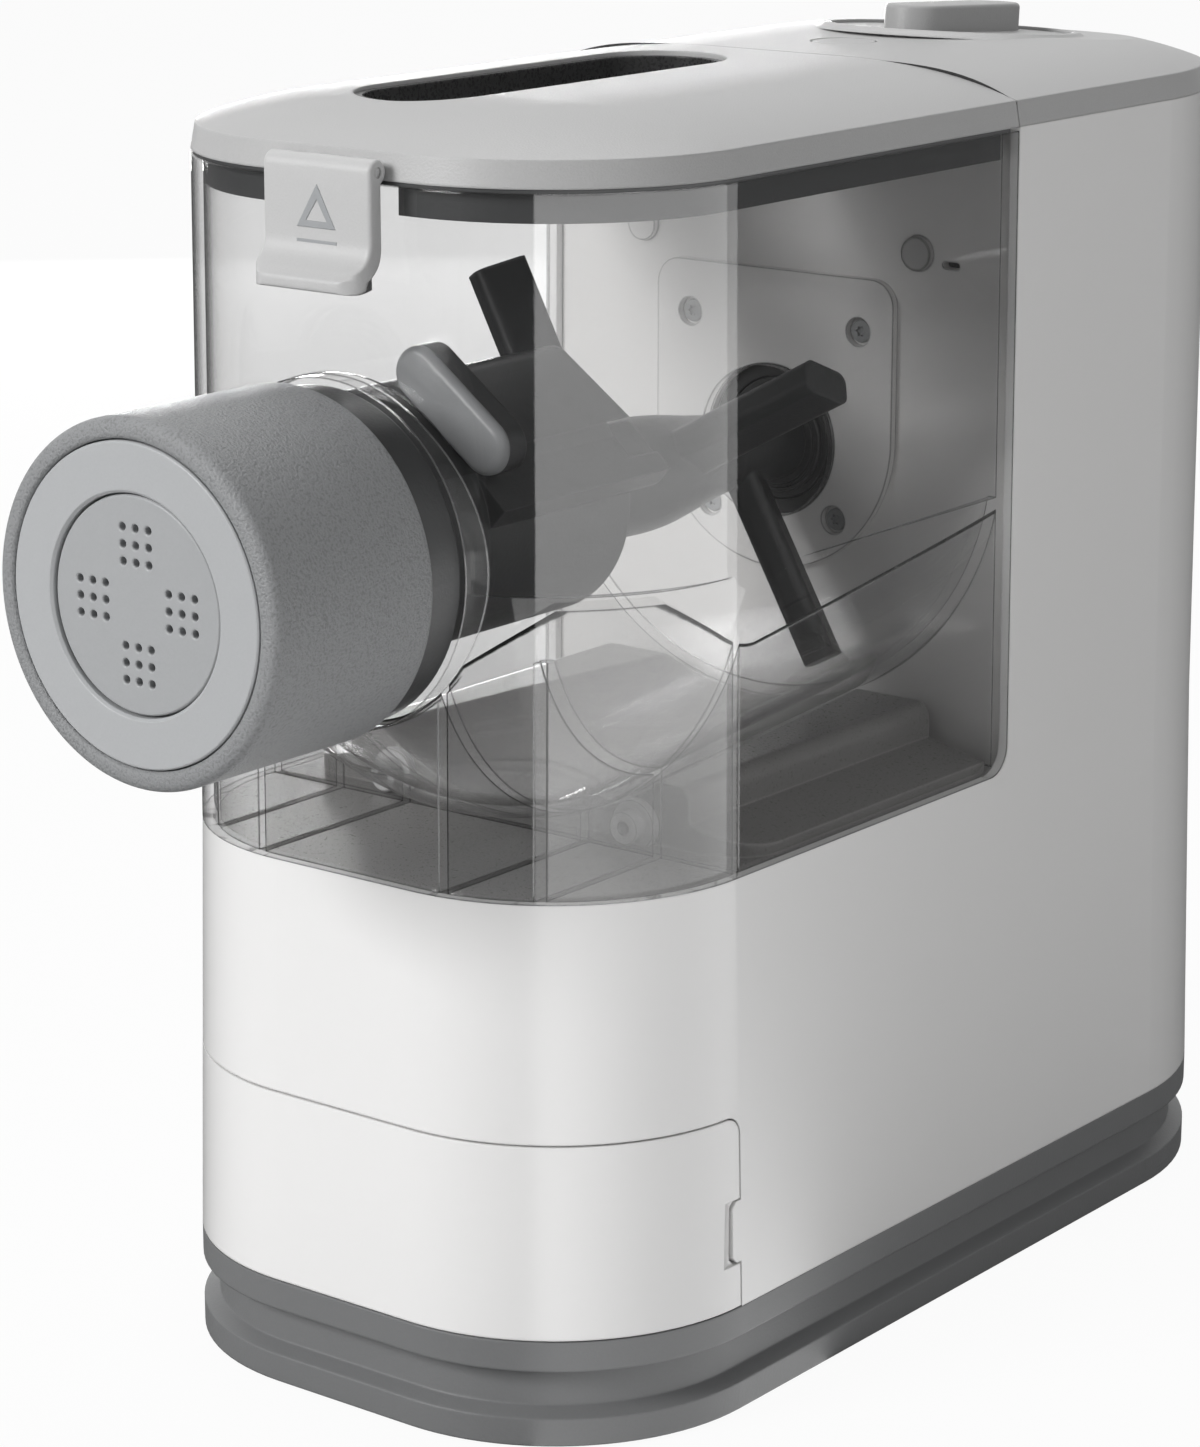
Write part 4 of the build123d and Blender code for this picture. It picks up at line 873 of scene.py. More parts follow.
@dataclass
class Drawer(SubAssembly):
    """Storage drawer with the spare discs."""

    body: ClassVar[str] = "drawer_body"
    finishes: ClassVar[dict[str, Finish]] = {
        "drawer_front": Finish.GLOSS_WHITE, "drawer_tray": Finish.TRAY,
        "spare_disc_spaghetti": Finish.DISC_FACE, "spare_disc_penne": Finish.DISC_FACE,
        "spare_disc_macaroni": Finish.DISC_FACE}


@dataclass
class Drive(SubAssembly):
    """Motor, gears and their case behind the tower panel."""

    finishes: ClassVar[dict[str, Finish]] = {
        "gearbox_frame": Finish.BLACK, "gearbox_cover": Finish.BLACK,
        "output_bush_front": Finish.BRONZE, "output_bush_rear": Finish.BRONZE,
        "idler_pin": Finish.STEEL, "motor_can": Finish.MOTOR, "motor_stator": Finish.MOTOR,
        "motor_cradle": Finish.BLACK, "output_gear": Finish.GEAR, "idler_gear": Finish.GEAR,
        "motor_rotor": Finish.STEEL, "motor_pinion": Finish.STEEL, "motor_fan": Finish.BLACK,
        "drive_seal": Finish.BLACK}


@dataclass
class TowerFront(SubAssembly):
    """Panel and plate behind the tub, with the star screws and the interlock.

    Attributes:
        panel_y: Face of the panel.
        plate_thickness: Thickness of the plate on it.
        axis_z: Height of the drive shaft.
        screws: Places of the screws from the drive shaft, across and up.
        head_radius: Radius of a screw's head.
        head_edge: Radius of the head's edge.
        star_radius: Mean radius of the star recess.
        star_wave: How far its lobes stand out.
        star_lobes: Number of lobes.
        star_depth: Depth of the recess.
        shank_radius: Radius of the shank.
        shank_length: How far the shank goes in.
        facets: Facets round a screw.
        star_facets: Facets round the recess.
    """

    panel_y: float = PANEL_Y
    plate_thickness: float = 0.0019
    axis_z: float = SHAFT_Z
    screws: tuple[Flat, ...] = ((0.0232, 0.0270), (-0.0232, 0.0270), (0.0172, -0.0165),
                                (-0.0172, -0.0165))
    head_radius: float = 0.0026
    head_edge: float = 0.0004
    star_radius: float = 0.00105
    star_wave: float = 0.00022
    star_lobes: int = 6
    star_depth: float = 0.0007
    shank_radius: float = 0.0015
    shank_length: float = 0.0049
    facets: int = 48
    star_facets: int = 72
    finishes: ClassVar[dict[str, Finish]] = {
        "tower_panel": Finish.PANEL, "drive_plate": Finish.PANEL,
        "interlock_plunger": Finish.PLUNGER, "interlock_switch": Finish.BLACK}

    def screw(self, place: Flat) -> Solid:
        """One screw with a rounded head and a star recess.

        Args:
            place: Across and up from the drive shaft.

        Returns:
            The screw.
        """
        axis = (place[0], self.axis_z + place[1])
        face_y = self.panel_y - self.plate_thickness / 2
        dome = [(face_y + self.head_edge - rise, self.head_radius - inset)
                for inset, rise in rounding(self.head_edge)]
        profile = [(self.panel_y + self.shank_length, self.shank_radius),
                   (self.panel_y, self.shank_radius), (self.panel_y, self.head_radius), *dome]
        head = Mesher.turned("screw", profile, axis, self.facets)
        star = []
        for across, up in circle((0, 0), 1.0, self.star_facets):
            wave = math.cos(self.star_lobes * math.atan2(up, across))
            radius = self.star_radius + self.star_wave * wave
            star.append((axis[0] + radius * across, axis[1] + radius * up))
        cutter = Mesher.extruded("star", star, in_front, face_y - self.star_depth,
                                 face_y + self.star_depth)
        return Mesher.combine(head, [cutter])

    def build(self) -> None:
        """Dress the panel and build the screws."""
        self.dress()
        screws = Mesher.merged("star_screws", [self.screw(place) for place in self.screws])
        self.adopt(screws, Finish.SCREW_HEAD, "drive_plate_screws")


@dataclass
class Stirrer(SubAssembly):
    """Stirring rod with the extrusion screw, and the stepped drive coupling.

    Attributes:
        axis_z: Height of the shaft.
        coupling_y: Front face of the coupling.
        panel_y: Face of the tower panel.
        case_y: Front of the gearbox.
        gear_y: Where the shaft steps down behind the gear.
        rear_y: Rear end of the shaft.
        bore: Radius of the hollow that takes the rod's tang.
        bore_depth: Its depth.
        mouth: Radius of the face round the hollow.
        groove: Outer radius of the groove beside it.
        groove_depth: Depth of the groove.
        slant: How far the groove's walls lean.
        collar: Radius of the collar outside the groove.
        collar_sink: How far it lies behind the front face.
        washer: Radius of the washer on the panel.
        edge: Chamfer of both, and the gap to the gearbox.
        journal: Radius of the shaft in the gearbox.
        tail: Radius of its rear end.
        facets: Facets round the shaft.
    """

    axis_z: float = SHAFT_Z
    coupling_y: float = 0.04195
    panel_y: float = PANEL_Y
    case_y: float = 0.04555
    gear_y: float = 0.05995
    rear_y: float = 0.07135
    bore: float = 0.0051
    bore_depth: float = 0.0091
    mouth: float = 0.0104
    groove: float = 0.0112
    groove_depth: float = 0.0006
    slant: float = 0.0002
    collar: float = 0.0124
    collar_sink: float = 0.0001
    washer: float = 0.0139
    edge: float = 0.0003
    journal: float = 0.0085
    tail: float = 0.0050
    facets: int = 128
    body: ClassVar[str] = "stirrer_body"
    finishes: ClassVar[dict[str, Finish]] = {"stirring_rod": Finish.CHARCOAL}

    def coupling(self) -> Solid:
        """Drive shaft whose front end steps outwards in rings.

        Returns:
            The shaft.
        """
        face, edge = self.coupling_y, self.edge
        floor_y, collar_y = face + self.groove_depth, face + self.collar_sink
        washer_y, end_y = self.panel_y + edge, self.case_y - edge
        profile = [(face + self.bore_depth, self.bore), (face, self.bore), (face, self.mouth),
                   (floor_y, self.mouth + self.slant), (floor_y, self.groove),
                   (collar_y, self.groove + self.slant), (collar_y, self.collar - edge),
                   (collar_y + edge, self.collar), (washer_y, self.collar),
                   (washer_y, self.washer - edge), (washer_y + edge, self.washer),
                   (end_y, self.washer), (end_y, self.journal), (self.gear_y, self.journal),
                   (self.gear_y, self.tail), (self.rear_y, self.tail)]
        return Mesher.turned("drive_coupling", profile, (0.0, self.axis_z), self.facets)

    def build(self) -> None:
        """Dress the rod and build the coupling."""
        self.dress()
        self.adopt(self.coupling(), Finish.COUPLING, "output_shaft")


@dataclass
class Extruder(SubAssembly):
    """Extruder tube with its hood and ledge, and the pill-shaped face of the lug beside it.

    Attributes:
        lug_top: Upper end of the pill, across and up.
        lug_low: Lower end of the pill.
        half_width: Radius of its ends.
        face_y: Its front face.
        thickness: Its thickness.
        edge: Radius of its rounded edge.
        end_steps: Spans round each of its ends.
        ledge: Outline of the ledge under the hood's rim; it draws in to its second point.
        ledge_steps: Place along Y and share of the full size, from end to end.
    """

    lug_top: Flat = (0.0072, 0.2186)
    lug_low: Flat = (0.0242, 0.2058)
    half_width: float = 0.00575
    face_y: float = -0.09205
    thickness: float = 0.0022
    edge: float = 0.0018
    end_steps: int = 20
    ledge: tuple[Flat, ...] = ((0.0193, 0.2028), (0.0207, 0.1912), (0.0245, 0.1892),
                               (0.0277, 0.1922), (0.0281, 0.1934), (0.0277, 0.1944))
    ledge_steps: tuple[Flat, ...] = ((-0.0880, 0.90), (-0.0864, 0.97), (-0.0854, 1.0),
                                     (-0.0380, 1.0), (-0.0372, 0.985), (-0.0368, 0.95))
    finishes: ClassVar[dict[str, Finish]] = {
        "extruder_tube": Finish.TUBE, "mixing_tub": Finish.CLEAR}

    def lug(self) -> Solid:
        """Pill with a well rounded front edge.

        Returns:
            The lug's face piece.
        """
        run, rise = (low - top for low, top in zip(self.lug_low, self.lug_top))
        turn = math.degrees(math.atan2(rise, run)) - 90
        centre = tuple((a + b) / 2 for a, b in zip(self.lug_top, self.lug_low))
        length = math.hypot(rise, run) + 2 * self.half_width
        levels = [(0.0, self.face_y + self.thickness)]
        levels += [(inset, self.face_y + self.edge - lift) for inset, lift in rounding(self.edge)]
        rings = []
        for inset, y in levels:
            outline = stadium(centre, self.half_width - inset, length - 2 * inset,
                              self.end_steps, turn)
            rings.append([in_front(a, b, y) for a, b in outline])
        return Mesher.loft("lug_pill", rings)

    def shelf(self) -> Solid:
        """Sloping ledge along the tube, with drawn-in ends.

        Returns:
            The ledge.
        """
        root = self.ledge[1]
        rings = [[in_front(root[0] + share * (a - root[0]), root[1] + share * (b - root[1]), y)
                  for a, b in self.ledge] for y, share in self.ledge_steps]
        return Mesher.loft("tube_ledge", rings)

    def build(self) -> None:
        """Dress the tube and the tub and build the ledge and the lug's face."""
        self.dress()
        self.adopt(self.shelf(), Finish.TUBE)
        self.adopt(self.lug(), Finish.LUG_FACE, "extruder_lug_face")


@dataclass
class DieNut(SubAssembly):
    """Screw-on nut with its face ring and the shaping disc.

    Attributes:
        axis_z: Height of the axis.
        nose_y: Front face.
        length: Length of the nut.
        radius: Outer radius of the nut.
        edge: Radius of its front edge.
        rear_edge: Chamfer of its rear edge.
        bore: Radius of its threaded bore.
        seat_radius: Radius of the gap line between the ring and the nut.
        ring_opening: Inner radius of the ring.
        opening_edge: Chamfer of that opening.
        ring_thickness: Thickness of the ring.
        shoulder: Thickness of the step that holds the ring.
        shoulder_radius: Inner radius of that step.
        disc_radius: Radius of the disc's flange.
        boss_radius: Radius of its boss.
        disc_thickness: Thickness of the flange.
        recess: How far the boss lies behind the ring.
        gap: How far the ring and the nut stand from the gap line.
        line: Chamfer beside each dark gap line.
        line_depth: Depth of that chamfer on the nut.
        cluster: Radius on which the clusters of holes stand.
        pitch: Pitch of the holes.
        hole: Radius of a hole.
        sink: Radius and depth of a countersink.
        facets: Facets round the axis.
        front_steps: Spans along the front edge.
        hole_facets: Facets round a hole.
        clusters: Number of clusters.
    """

    axis_z: float = SHAFT_Z
    nose_y: float = -0.16625
    length: float = 0.0452
    radius: float = 0.0364
    edge: float = 0.0020
    rear_edge: float = 0.0006
    bore: float = 0.03298
    seat_radius: float = 0.03205
    ring_opening: float = 0.02184
    opening_edge: float = 0.00055
    ring_thickness: float = 0.0034
    shoulder: float = 0.0030
    shoulder_radius: float = 0.0285
    disc_radius: float = 0.0236
    boss_radius: float = 0.0214
    disc_thickness: float = 0.0040
    recess: float = 0.0009
    gap: Flat = (0.00022, 0.00011)
    line: float = 0.00033
    line_depth: float = 0.00044
    cluster: float = 0.0116
    pitch: float = 0.00335
    hole: float = 0.0008
    sink: Flat = (0.001024, 0.00022)
    facets: int = 192
    front_steps: int = 10
    hole_facets: int = 20
    clusters: int = 4
    body: ClassVar[str] = "nut_body"

    def turned(self, name: str, profile: list[Flat], closed: bool) -> Solid:
        """Turn a profile about the nut's axis.

        Args:
            name: Name of the piece.
            profile: Pairs of place along Y and radius.
            closed: Whether the profile is a closed loop.

        Returns:
            The piece.
        """
        return Mesher.turned(name, profile, (0.0, self.axis_z), self.facets, closed)

    def nut(self) -> Solid:
        """Hollow nut with a rounded front edge.

        Returns:
            The nut.
        """
        nose, rear = self.nose_y, self.nose_y + self.length
        seat, inner = nose + self.ring_thickness, self.seat_radius + self.gap[1]
        outer = arc((nose + self.edge, self.radius - self.edge), self.edge, 180, 90,
                    self.front_steps)
        profile = [(seat, inner), (nose + self.line_depth, inner), (nose, inner + self.line),
                   *outer, (rear - self.rear_edge, self.radius),
                   (rear, self.radius - self.rear_edge), (rear, self.bore),
                   (seat + self.shoulder, self.bore), (seat + self.shoulder, self.shoulder_radius),
                   (seat, self.shoulder_radius)]
        return self.turned("sleeve_nut", profile, closed=True)

    def ring(self) -> Solid:
        """Flat ring with a chamfer at both edges.

        Returns:
            The ring.
        """
        nose, seat, chamfer = self.nose_y, self.nose_y + self.ring_thickness, self.opening_edge
        outer, inner = self.seat_radius - self.gap[0], self.ring_opening
        profile = [(seat, inner), (nose + chamfer, inner), (nose, inner + chamfer),
                   (nose, outer - self.line), (nose + self.line, outer), (seat, outer)]
        return self.turned("front_ring", profile, closed=True)

    def drill(self, across: float, up: float, face: float, back: float) -> Solid:
        """Cutter for one countersunk hole.

        Args:
            across: Place of the hole from the axis, across.
            up: Place of the hole from the axis, up.
            face: Front face of the disc.
            back: Where the cutter ends.

        Returns:
            The cutter.
        """
        radius, depth = self.sink
        wall = [(face - depth, radius), (face, radius), (face + depth, self.hole),
                (back, self.hole)]
        return Mesher.turned("drill", wall, (across, self.axis_z + up), self.hole_facets)

    def disc(self) -> Solid:
        """Disc with four clusters of nine countersunk holes.

        Returns:
            The disc.
        """
        face, flange_y = self.nose_y + self.recess, self.nose_y + self.ring_thickness
        back = flange_y + self.disc_thickness
        profile = [(back, self.disc_radius), (flange_y, self.disc_radius),
                   (flange_y, self.boss_radius), (face + self.line, self.boss_radius),
                   (face, self.boss_radius - self.line)]
        disc = self.turned("die_disc", profile, closed=False)
        offsets = [step * self.pitch for step in (-1, 0, 1)]
        drills = [self.drill(middle_x + across, middle_z + up, face, back + self.sink[1])
                  for middle_x, middle_z in circle((0, 0), self.cluster, self.clusters)
                  for across in offsets for up in offsets]
        return Mesher.combine(disc, [Mesher.merged("drills", drills)])

    def build(self) -> None:
        """Build the nut, the ring and the disc."""
        self.adopt(self.nut(), Finish.NUT_SIDE, "die_nut")
        self.adopt(self.ring(), Finish.RING_FACE, "face_ring")
        self.adopt(self.disc(), Finish.DISC_FACE, "shaping_disc")


@dataclass
class Lid(SubAssembly):
    """Crowned lid with its gasket skirt, filling slot and liner."""

    body: ClassVar[str] = "lid_body"
    finishes: ClassVar[dict[str, Finish]] = {
        "lid": Finish.LID_GREY, "lid_skirt": Finish.GASKET, "lid_liner": Finish.LID_GREY,
        "slot_frame": Finish.SLOT_DARK, "latch_pin": Finish.STEEL}


@dataclass
class Latch(SubAssembly):
    """Lid latch: a plate rolled over its pin above and bent out to a tongue below.

    Attributes:
        half_width: Half its width.
        pin: Place of the pin, along the machine and up.
        barrel: Radius of the roll about the pin.
        front_y: Front face.
        back_y: Back face.
        bend_z: Where the front starts to bend out.
        bend_pull: Height over the tip's top that the bend leans towards.
        bend_end: End of the bend, out from the front and up from the tip's top.
        tip: Top of the tongue's tip, along the machine and up.
        tip_low: Underside of the tip.
        nose: Radius of the tip's upper corner, and its fall.
        toe: Radius of its lower corner, along and up.
        sole: End of the flat underside, out from the front and up from the tip's underside.
        heel_pull: Height over the underside that the heel's bend leans towards.
        heel_z: Where the back straightens.
        corner: Plan radius of the tongue's corners.
        edge: Radius of the side edges.
        lug_x: Place of the lid's lugs either side.
        lug_gap: Half-width of the notch for a lug.
        notch: Radius of the notch about the pin.
        notch_reach: How far the notch opens back and up.
        bore: Radius of the bore for the pin.
        mark_lift: How far the mark stands out.
        mark_root: How far it goes into the plate.
        triangle: Outline of the mark's triangle, across and up.
        opening: Outline of the opening in it.
        bar: Outline of the bar under it.
        roll_steps: Spans round the roll.
        front_steps: Spans down the flat front.
        bend_steps: Spans along each long bend.
        tip_steps: Spans along each corner of the tip.
        flat_steps: Spans across the flat part, from the middle out.
        corner_steps: Spans along each plan corner.
        edge_steps: Spans along each side edge.
        bore_facets: Facets round the bore and the notches.
    """

    half_width: float = 0.0139
    pin: Flat = (-0.1100, 0.2614)
    barrel: float = 0.00255
    front_y: float = -0.11255
    back_y: float = -0.10885
    bend_z: float = 0.2480
    bend_pull: float = 0.0034
    bend_end: Flat = (0.0036, 0.0014)
    tip: Flat = (-0.11805, 0.2409)
    tip_low: float = 0.2382
    nose: Flat = (0.0008, 0.0002)
    toe: Flat = (0.0010, 0.0009)
    sole: Flat = (0.0010, 0.0020)
    heel_pull: float = 0.0036
    heel_z: float = 0.2468
    corner: float = 0.0050
    edge: float = 0.0008
    lug_x: float = 0.0060
    lug_gap: float = 0.0020
    notch: float = 0.0021
    notch_reach: float = 0.006
    bore: float = 0.00108
    mark_lift: float = 0.00010
    mark_root: float = 0.0004
    triangle: tuple[Flat, ...] = ((-0.0050, 0.2498), (0.0050, 0.2498), (0.0003, 0.2584))
    opening: tuple[Flat, ...] = ((-0.0026, 0.25115), (0.0028, 0.25115), (0.0003, 0.25535))
    bar: tuple[Flat, ...] = ((-0.0051, 0.2465), (0.0053, 0.2465), (0.0053, 0.24745),
                             (-0.0051, 0.24745))
    roll_steps: int = 22
    front_steps: int = 4
    bend_steps: int = 12
    tip_steps: int = 5
    flat_steps: int = 5
    corner_steps: int = 10
    edge_steps: int = 5
    bore_facets: int = 24
    body: ClassVar[str] = "latch_body"

    def profile(self) -> list[Flat]:
        """Side view of the plate, round the roll and down to the tongue.

        Returns:
            Points, along the machine and up.
        """
        front, back, (tip_y, tip_z), low = self.front_y, self.back_y, self.tip, self.tip_low
        radius, fall = self.nose
        start = math.degrees(math.acos((back - self.pin[0]) / self.barrel))
        points = arc(self.pin, self.barrel, -start, 180, self.roll_steps)
        points += [(front, self.bend_z + (self.pin[1] - self.bend_z) * k / self.front_steps)
                   for k in range(self.front_steps - 1, 0, -1)]
        points += bow((front, self.bend_z), (front, tip_z + self.bend_pull),
                      (front - self.bend_end[0], tip_z + self.bend_end[1]), self.bend_steps)
        points += bow((tip_y + radius, tip_z + fall), self.tip, (tip_y, tip_z - radius),
                      self.tip_steps)
        points += bow((tip_y, low + self.toe[1]), (tip_y, low), (tip_y + self.toe[0], low),
                      self.tip_steps)
        points += bow((front - self.sole[0], low + self.sole[1]), (back, low + self.heel_pull),
                      (back, self.heel_z), self.bend_steps)
        return points

    def station(self, x: float, inset: float) -> list[Point]:
        """The side view at one place across, drawn in by the rounded side edge.

        Args:
            x: Place across.
            inset: How far the outline is drawn in.

        Returns:
            The ring of points.
        """
        flat = self.profile()
        over = max(0.0, abs(x) - (self.half_width - self.corner))
        limit = self.tip[0] + self.corner - math.sqrt(max(0.0, self.corner ** 2 - over ** 2))
        ring = []
        for i, (y, z) in enumerate(flat):
            before, after = Vector(flat[i - 1]), Vector(flat[(i + 1) % len(flat)])
            run = (after - before).normalized()
            ring.append((x, max(y - run.y * inset, limit + inset), z + run.x * inset))
        return ring

    def plate(self) -> Solid:
        """The latch with its notches for the lid's lugs.

        Returns:
            The latch.
        """
        ends = [(self.half_width - self.edge + rise, inset)
                for inset, rise in rounding(self.edge, self.edge_steps)]
        flat_end, bend_span = self.half_width - self.corner, self.corner - self.edge
        flat = [(flat_end * k / self.flat_steps, 0.0) for k in range(self.flat_steps)]
        bend = [(flat_end + bend_span * k / self.corner_steps, 0.0)
                for k in range(self.corner_steps)]
        half = flat + bend + ends
        stops = [(-x, inset) for x, inset in reversed(half[1:])] + half
        plate = Mesher.loft("latch_plate", [self.station(x, inset) for x, inset in stops])
        (y, z), foot, reach = self.pin, self.pin[1] - self.notch, self.notch_reach
        bore = circle(self.pin, self.bore, self.bore_facets)
        cutters = [Mesher.extruded("bore", bore, in_side, -2 * self.half_width,
                                   2 * self.half_width)]
        notch = [(y, foot), (y + reach, foot), (y + reach, z + reach), (y, z + reach)]
        for middle in (-self.lug_x, self.lug_x):
            for outline in (notch, circle(self.pin, self.notch, self.bore_facets)):
                cutters.append(Mesher.extruded("notch", outline, in_side, middle - self.lug_gap,
                                               middle + self.lug_gap))
        return Mesher.combine(plate, cutters)

    def mark(self) -> Solid:
        """Plain triangle over a bar, the usual sign for opening.

        Returns:
            The mark.
        """
        low, high = self.front_y - self.mark_lift, self.front_y + self.mark_root
        triangle = Mesher.extruded("triangle", self.triangle, in_front, low, high)
        hole = Mesher.extruded("hole", self.opening, in_front, low - self.edge, high + self.edge)
        bar = Mesher.extruded("bar", self.bar, in_front, low, high)
        return Mesher.merged("open_mark", [Mesher.combine(triangle, [hole]), bar])

    def build(self) -> None:
        """Build the latch and its mark."""
        self.adopt(self.plate(), Finish.LATCH_GREY, "latch")
        self.adopt(self.mark(), Finish.MARK)


@dataclass
class RearCover(SubAssembly):
    """Crowned cover over the tower, a dark strip of painted shade in its seam, the board and its
    switches.

    Attributes:
        edge_x: Half the width of the crown's flat rim.
        span: How far the crown rises inwards from there.
        band_top: Height of the rim.
        rise: Height of the crown over the rim.
        fullness: Power that rounds the crown's shoulder.
        steps: Spans along that shoulder.
        shade_strip_span: Where the shade strip starts and ends along Y.
        drop: How far the strip's top lies below the crown.
        depth: Depth of the strip.
    """

    edge_x: float = 0.0633
    span: float = 0.0448
    band_top: float = 0.2650
    rise: float = 0.0067
    fullness: float = 3.5
    steps: int = 18
    shade_strip_span: Flat = (0.04062, 0.04088)
    drop: float = 0.0004
    depth: float = 0.0030
    finishes: ClassVar[dict[str, Finish]] = {
        "rear_cover": Finish.LID_GREY, "control_board": Finish.BOARD,
        "selector_switch": Finish.BLACK, "start_switch": Finish.BLACK}

    def shade_strip(self) -> Solid:
        """Thin dark strip that follows the crown between the lid and the cover: painted shade in
        the seam.

        Returns:
            The strip.
        """
        shares = [(k / self.steps) ** 2 for k in range(self.steps + 1)]
        half = [(self.edge_x - share * self.span,
                 self.band_top - self.drop + self.rise * (1 - (1 - share) ** self.fullness))
                for share in shares]
        top = half + [(-x, z) for x, z in reversed(half)]
        outline = top + [(x, z - self.depth) for x, z in reversed(top)]
        return Mesher.extruded("seam_seal", outline, in_front, *self.shade_strip_span)

    def build(self) -> None:
        """Dress the cover and build the dark strip of painted seam shade."""
        self.dress()
        # The black strip paints the shade in the gap between the lid and the cover.
        self.adopt(self.shade_strip(), Finish.RUBBER)


@dataclass
class StartButton(SubAssembly):
    """Round push button flush with the cover."""

    body: ClassVar[str] = "button_body"
    finishes: ClassVar[dict[str, Finish]] = {"start_button": Finish.LID_GREY}


@dataclass
class SelectorKnob(SubAssembly):
    """Round knob with a bar grip, on the falling part of the cover.

    Attributes:
        origin: Middle of the disc's top.
        fall: How far the cover leans back, in degrees.
        radius: Radius of the disc.
        sink: Underside of the disc below its top.
        disc_edge: Radius of the disc's edge.
        grip_length: Length of the grip.
        grip_width: Width of the grip.
        grip_rise: Height of the grip.
        grip_root: How far it goes into the disc.
        grip_lean: How far its top leans from the disc, in degrees.
        grip_edge: Radius of its top edge.
        shaft_radius: Radius of the shaft.
        shaft_reach: How far the shaft goes down.
        facets: Facets round the disc.
        edge_steps: Spans along the disc's edge.
        grip_steps: Spans round each end of the grip.
    """

    origin: Point = (0.0, 0.11195, 0.2706)
    fall: float = 4.0
    radius: float = 0.0281
    sink: float = 0.0021
    disc_edge: float = 0.0004
    grip_length: float = 0.0460
    grip_width: float = 0.0140
    grip_rise: float = 0.0062
    grip_root: float = 0.0008
    grip_lean: float = 0.8
    grip_edge: float = 0.0010
    shaft_radius: float = 0.0030
    shaft_reach: float = 0.0118
    facets: int = 144
    edge_steps: int = 4
    grip_steps: int = 24
    body: ClassVar[str] = "knob_body"

    def place(self, a: float, b: float, along: float) -> Point:
        """Point on the leaning disc: across, back and up from it."""
        turned = Matrix.Rotation(math.radians(-self.fall), 3, "X") @ Vector((a, b, along))
        return tuple(Vector(self.origin) + turned)

    def disc(self) -> Solid:
        """Disc with a softened edge, on its shaft.

        Returns:
            The disc.
        """
        profile = [(-self.shaft_reach, self.shaft_radius), (-self.sink, self.shaft_radius),
                   (-self.sink, self.radius)]
        profile += [(rise - self.disc_edge, self.radius - inset)
                    for inset, rise in rounding(self.disc_edge, self.edge_steps)]
        rings = [[self.place(*point, along) for point in circle((0, 0), radius, self.facets)]
                 for along, radius in profile]
        return Mesher.loft("selector", rings)

    def grip(self) -> Solid:
        """Bar with round ends and a rounded top edge.

        Returns:
            The grip.
        """
        slope = math.tan(math.radians(self.grip_lean))
        levels = [(0.0, -self.grip_root, 0.0)]
        levels += [(inset, self.grip_rise - self.grip_edge + rise, slope)
                   for inset, rise in rounding(self.grip_edge)]
        rings = []
        for inset, height, lean in levels:
            outline = stadium((0, 0), self.grip_width / 2 - inset, self.grip_length - 2 * inset,
                              self.grip_steps)
            rings.append([self.place(a, b, height + b * lean) for a, b in outline])
        return Mesher.loft("grip", rings)

    def build(self) -> None:
        """Build the knob."""
        knob = Mesher.combine(self.disc(), [self.grip()], "UNION")
        self.adopt(knob, Finish.KNOB_GREY, "selector_knob")


# ---------------------------------------------------------------- studio
@dataclass(frozen=True)
class Softbox:
    """One area lamp.

    Attributes:
        name: Name of the lamp.
        place: Where it hangs.
        size: Width and height of its face.
        power: Its power in watts.
    """

    name: str
    place: Point
    size: Flat
    power: float

    def hang(self, target: Point) -> None:
        """Hang the lamp.

        Args:
            target: What it points at.
        """
        data = bpy.data.lights.new(self.name, "AREA")
        data.shape = "RECTANGLE"
        data.size, data.size_y = self.size
        data.energy = self.power
        holder = bpy.data.objects.new(self.name, data)
        holder.location = self.place
        aim = Vector(target) - Vector(self.place)
        holder.rotation_euler = aim.to_track_quat("-Z", "Y").to_euler()
        holder.visible_camera = False
        bpy.context.scene.collection.objects.link(holder)


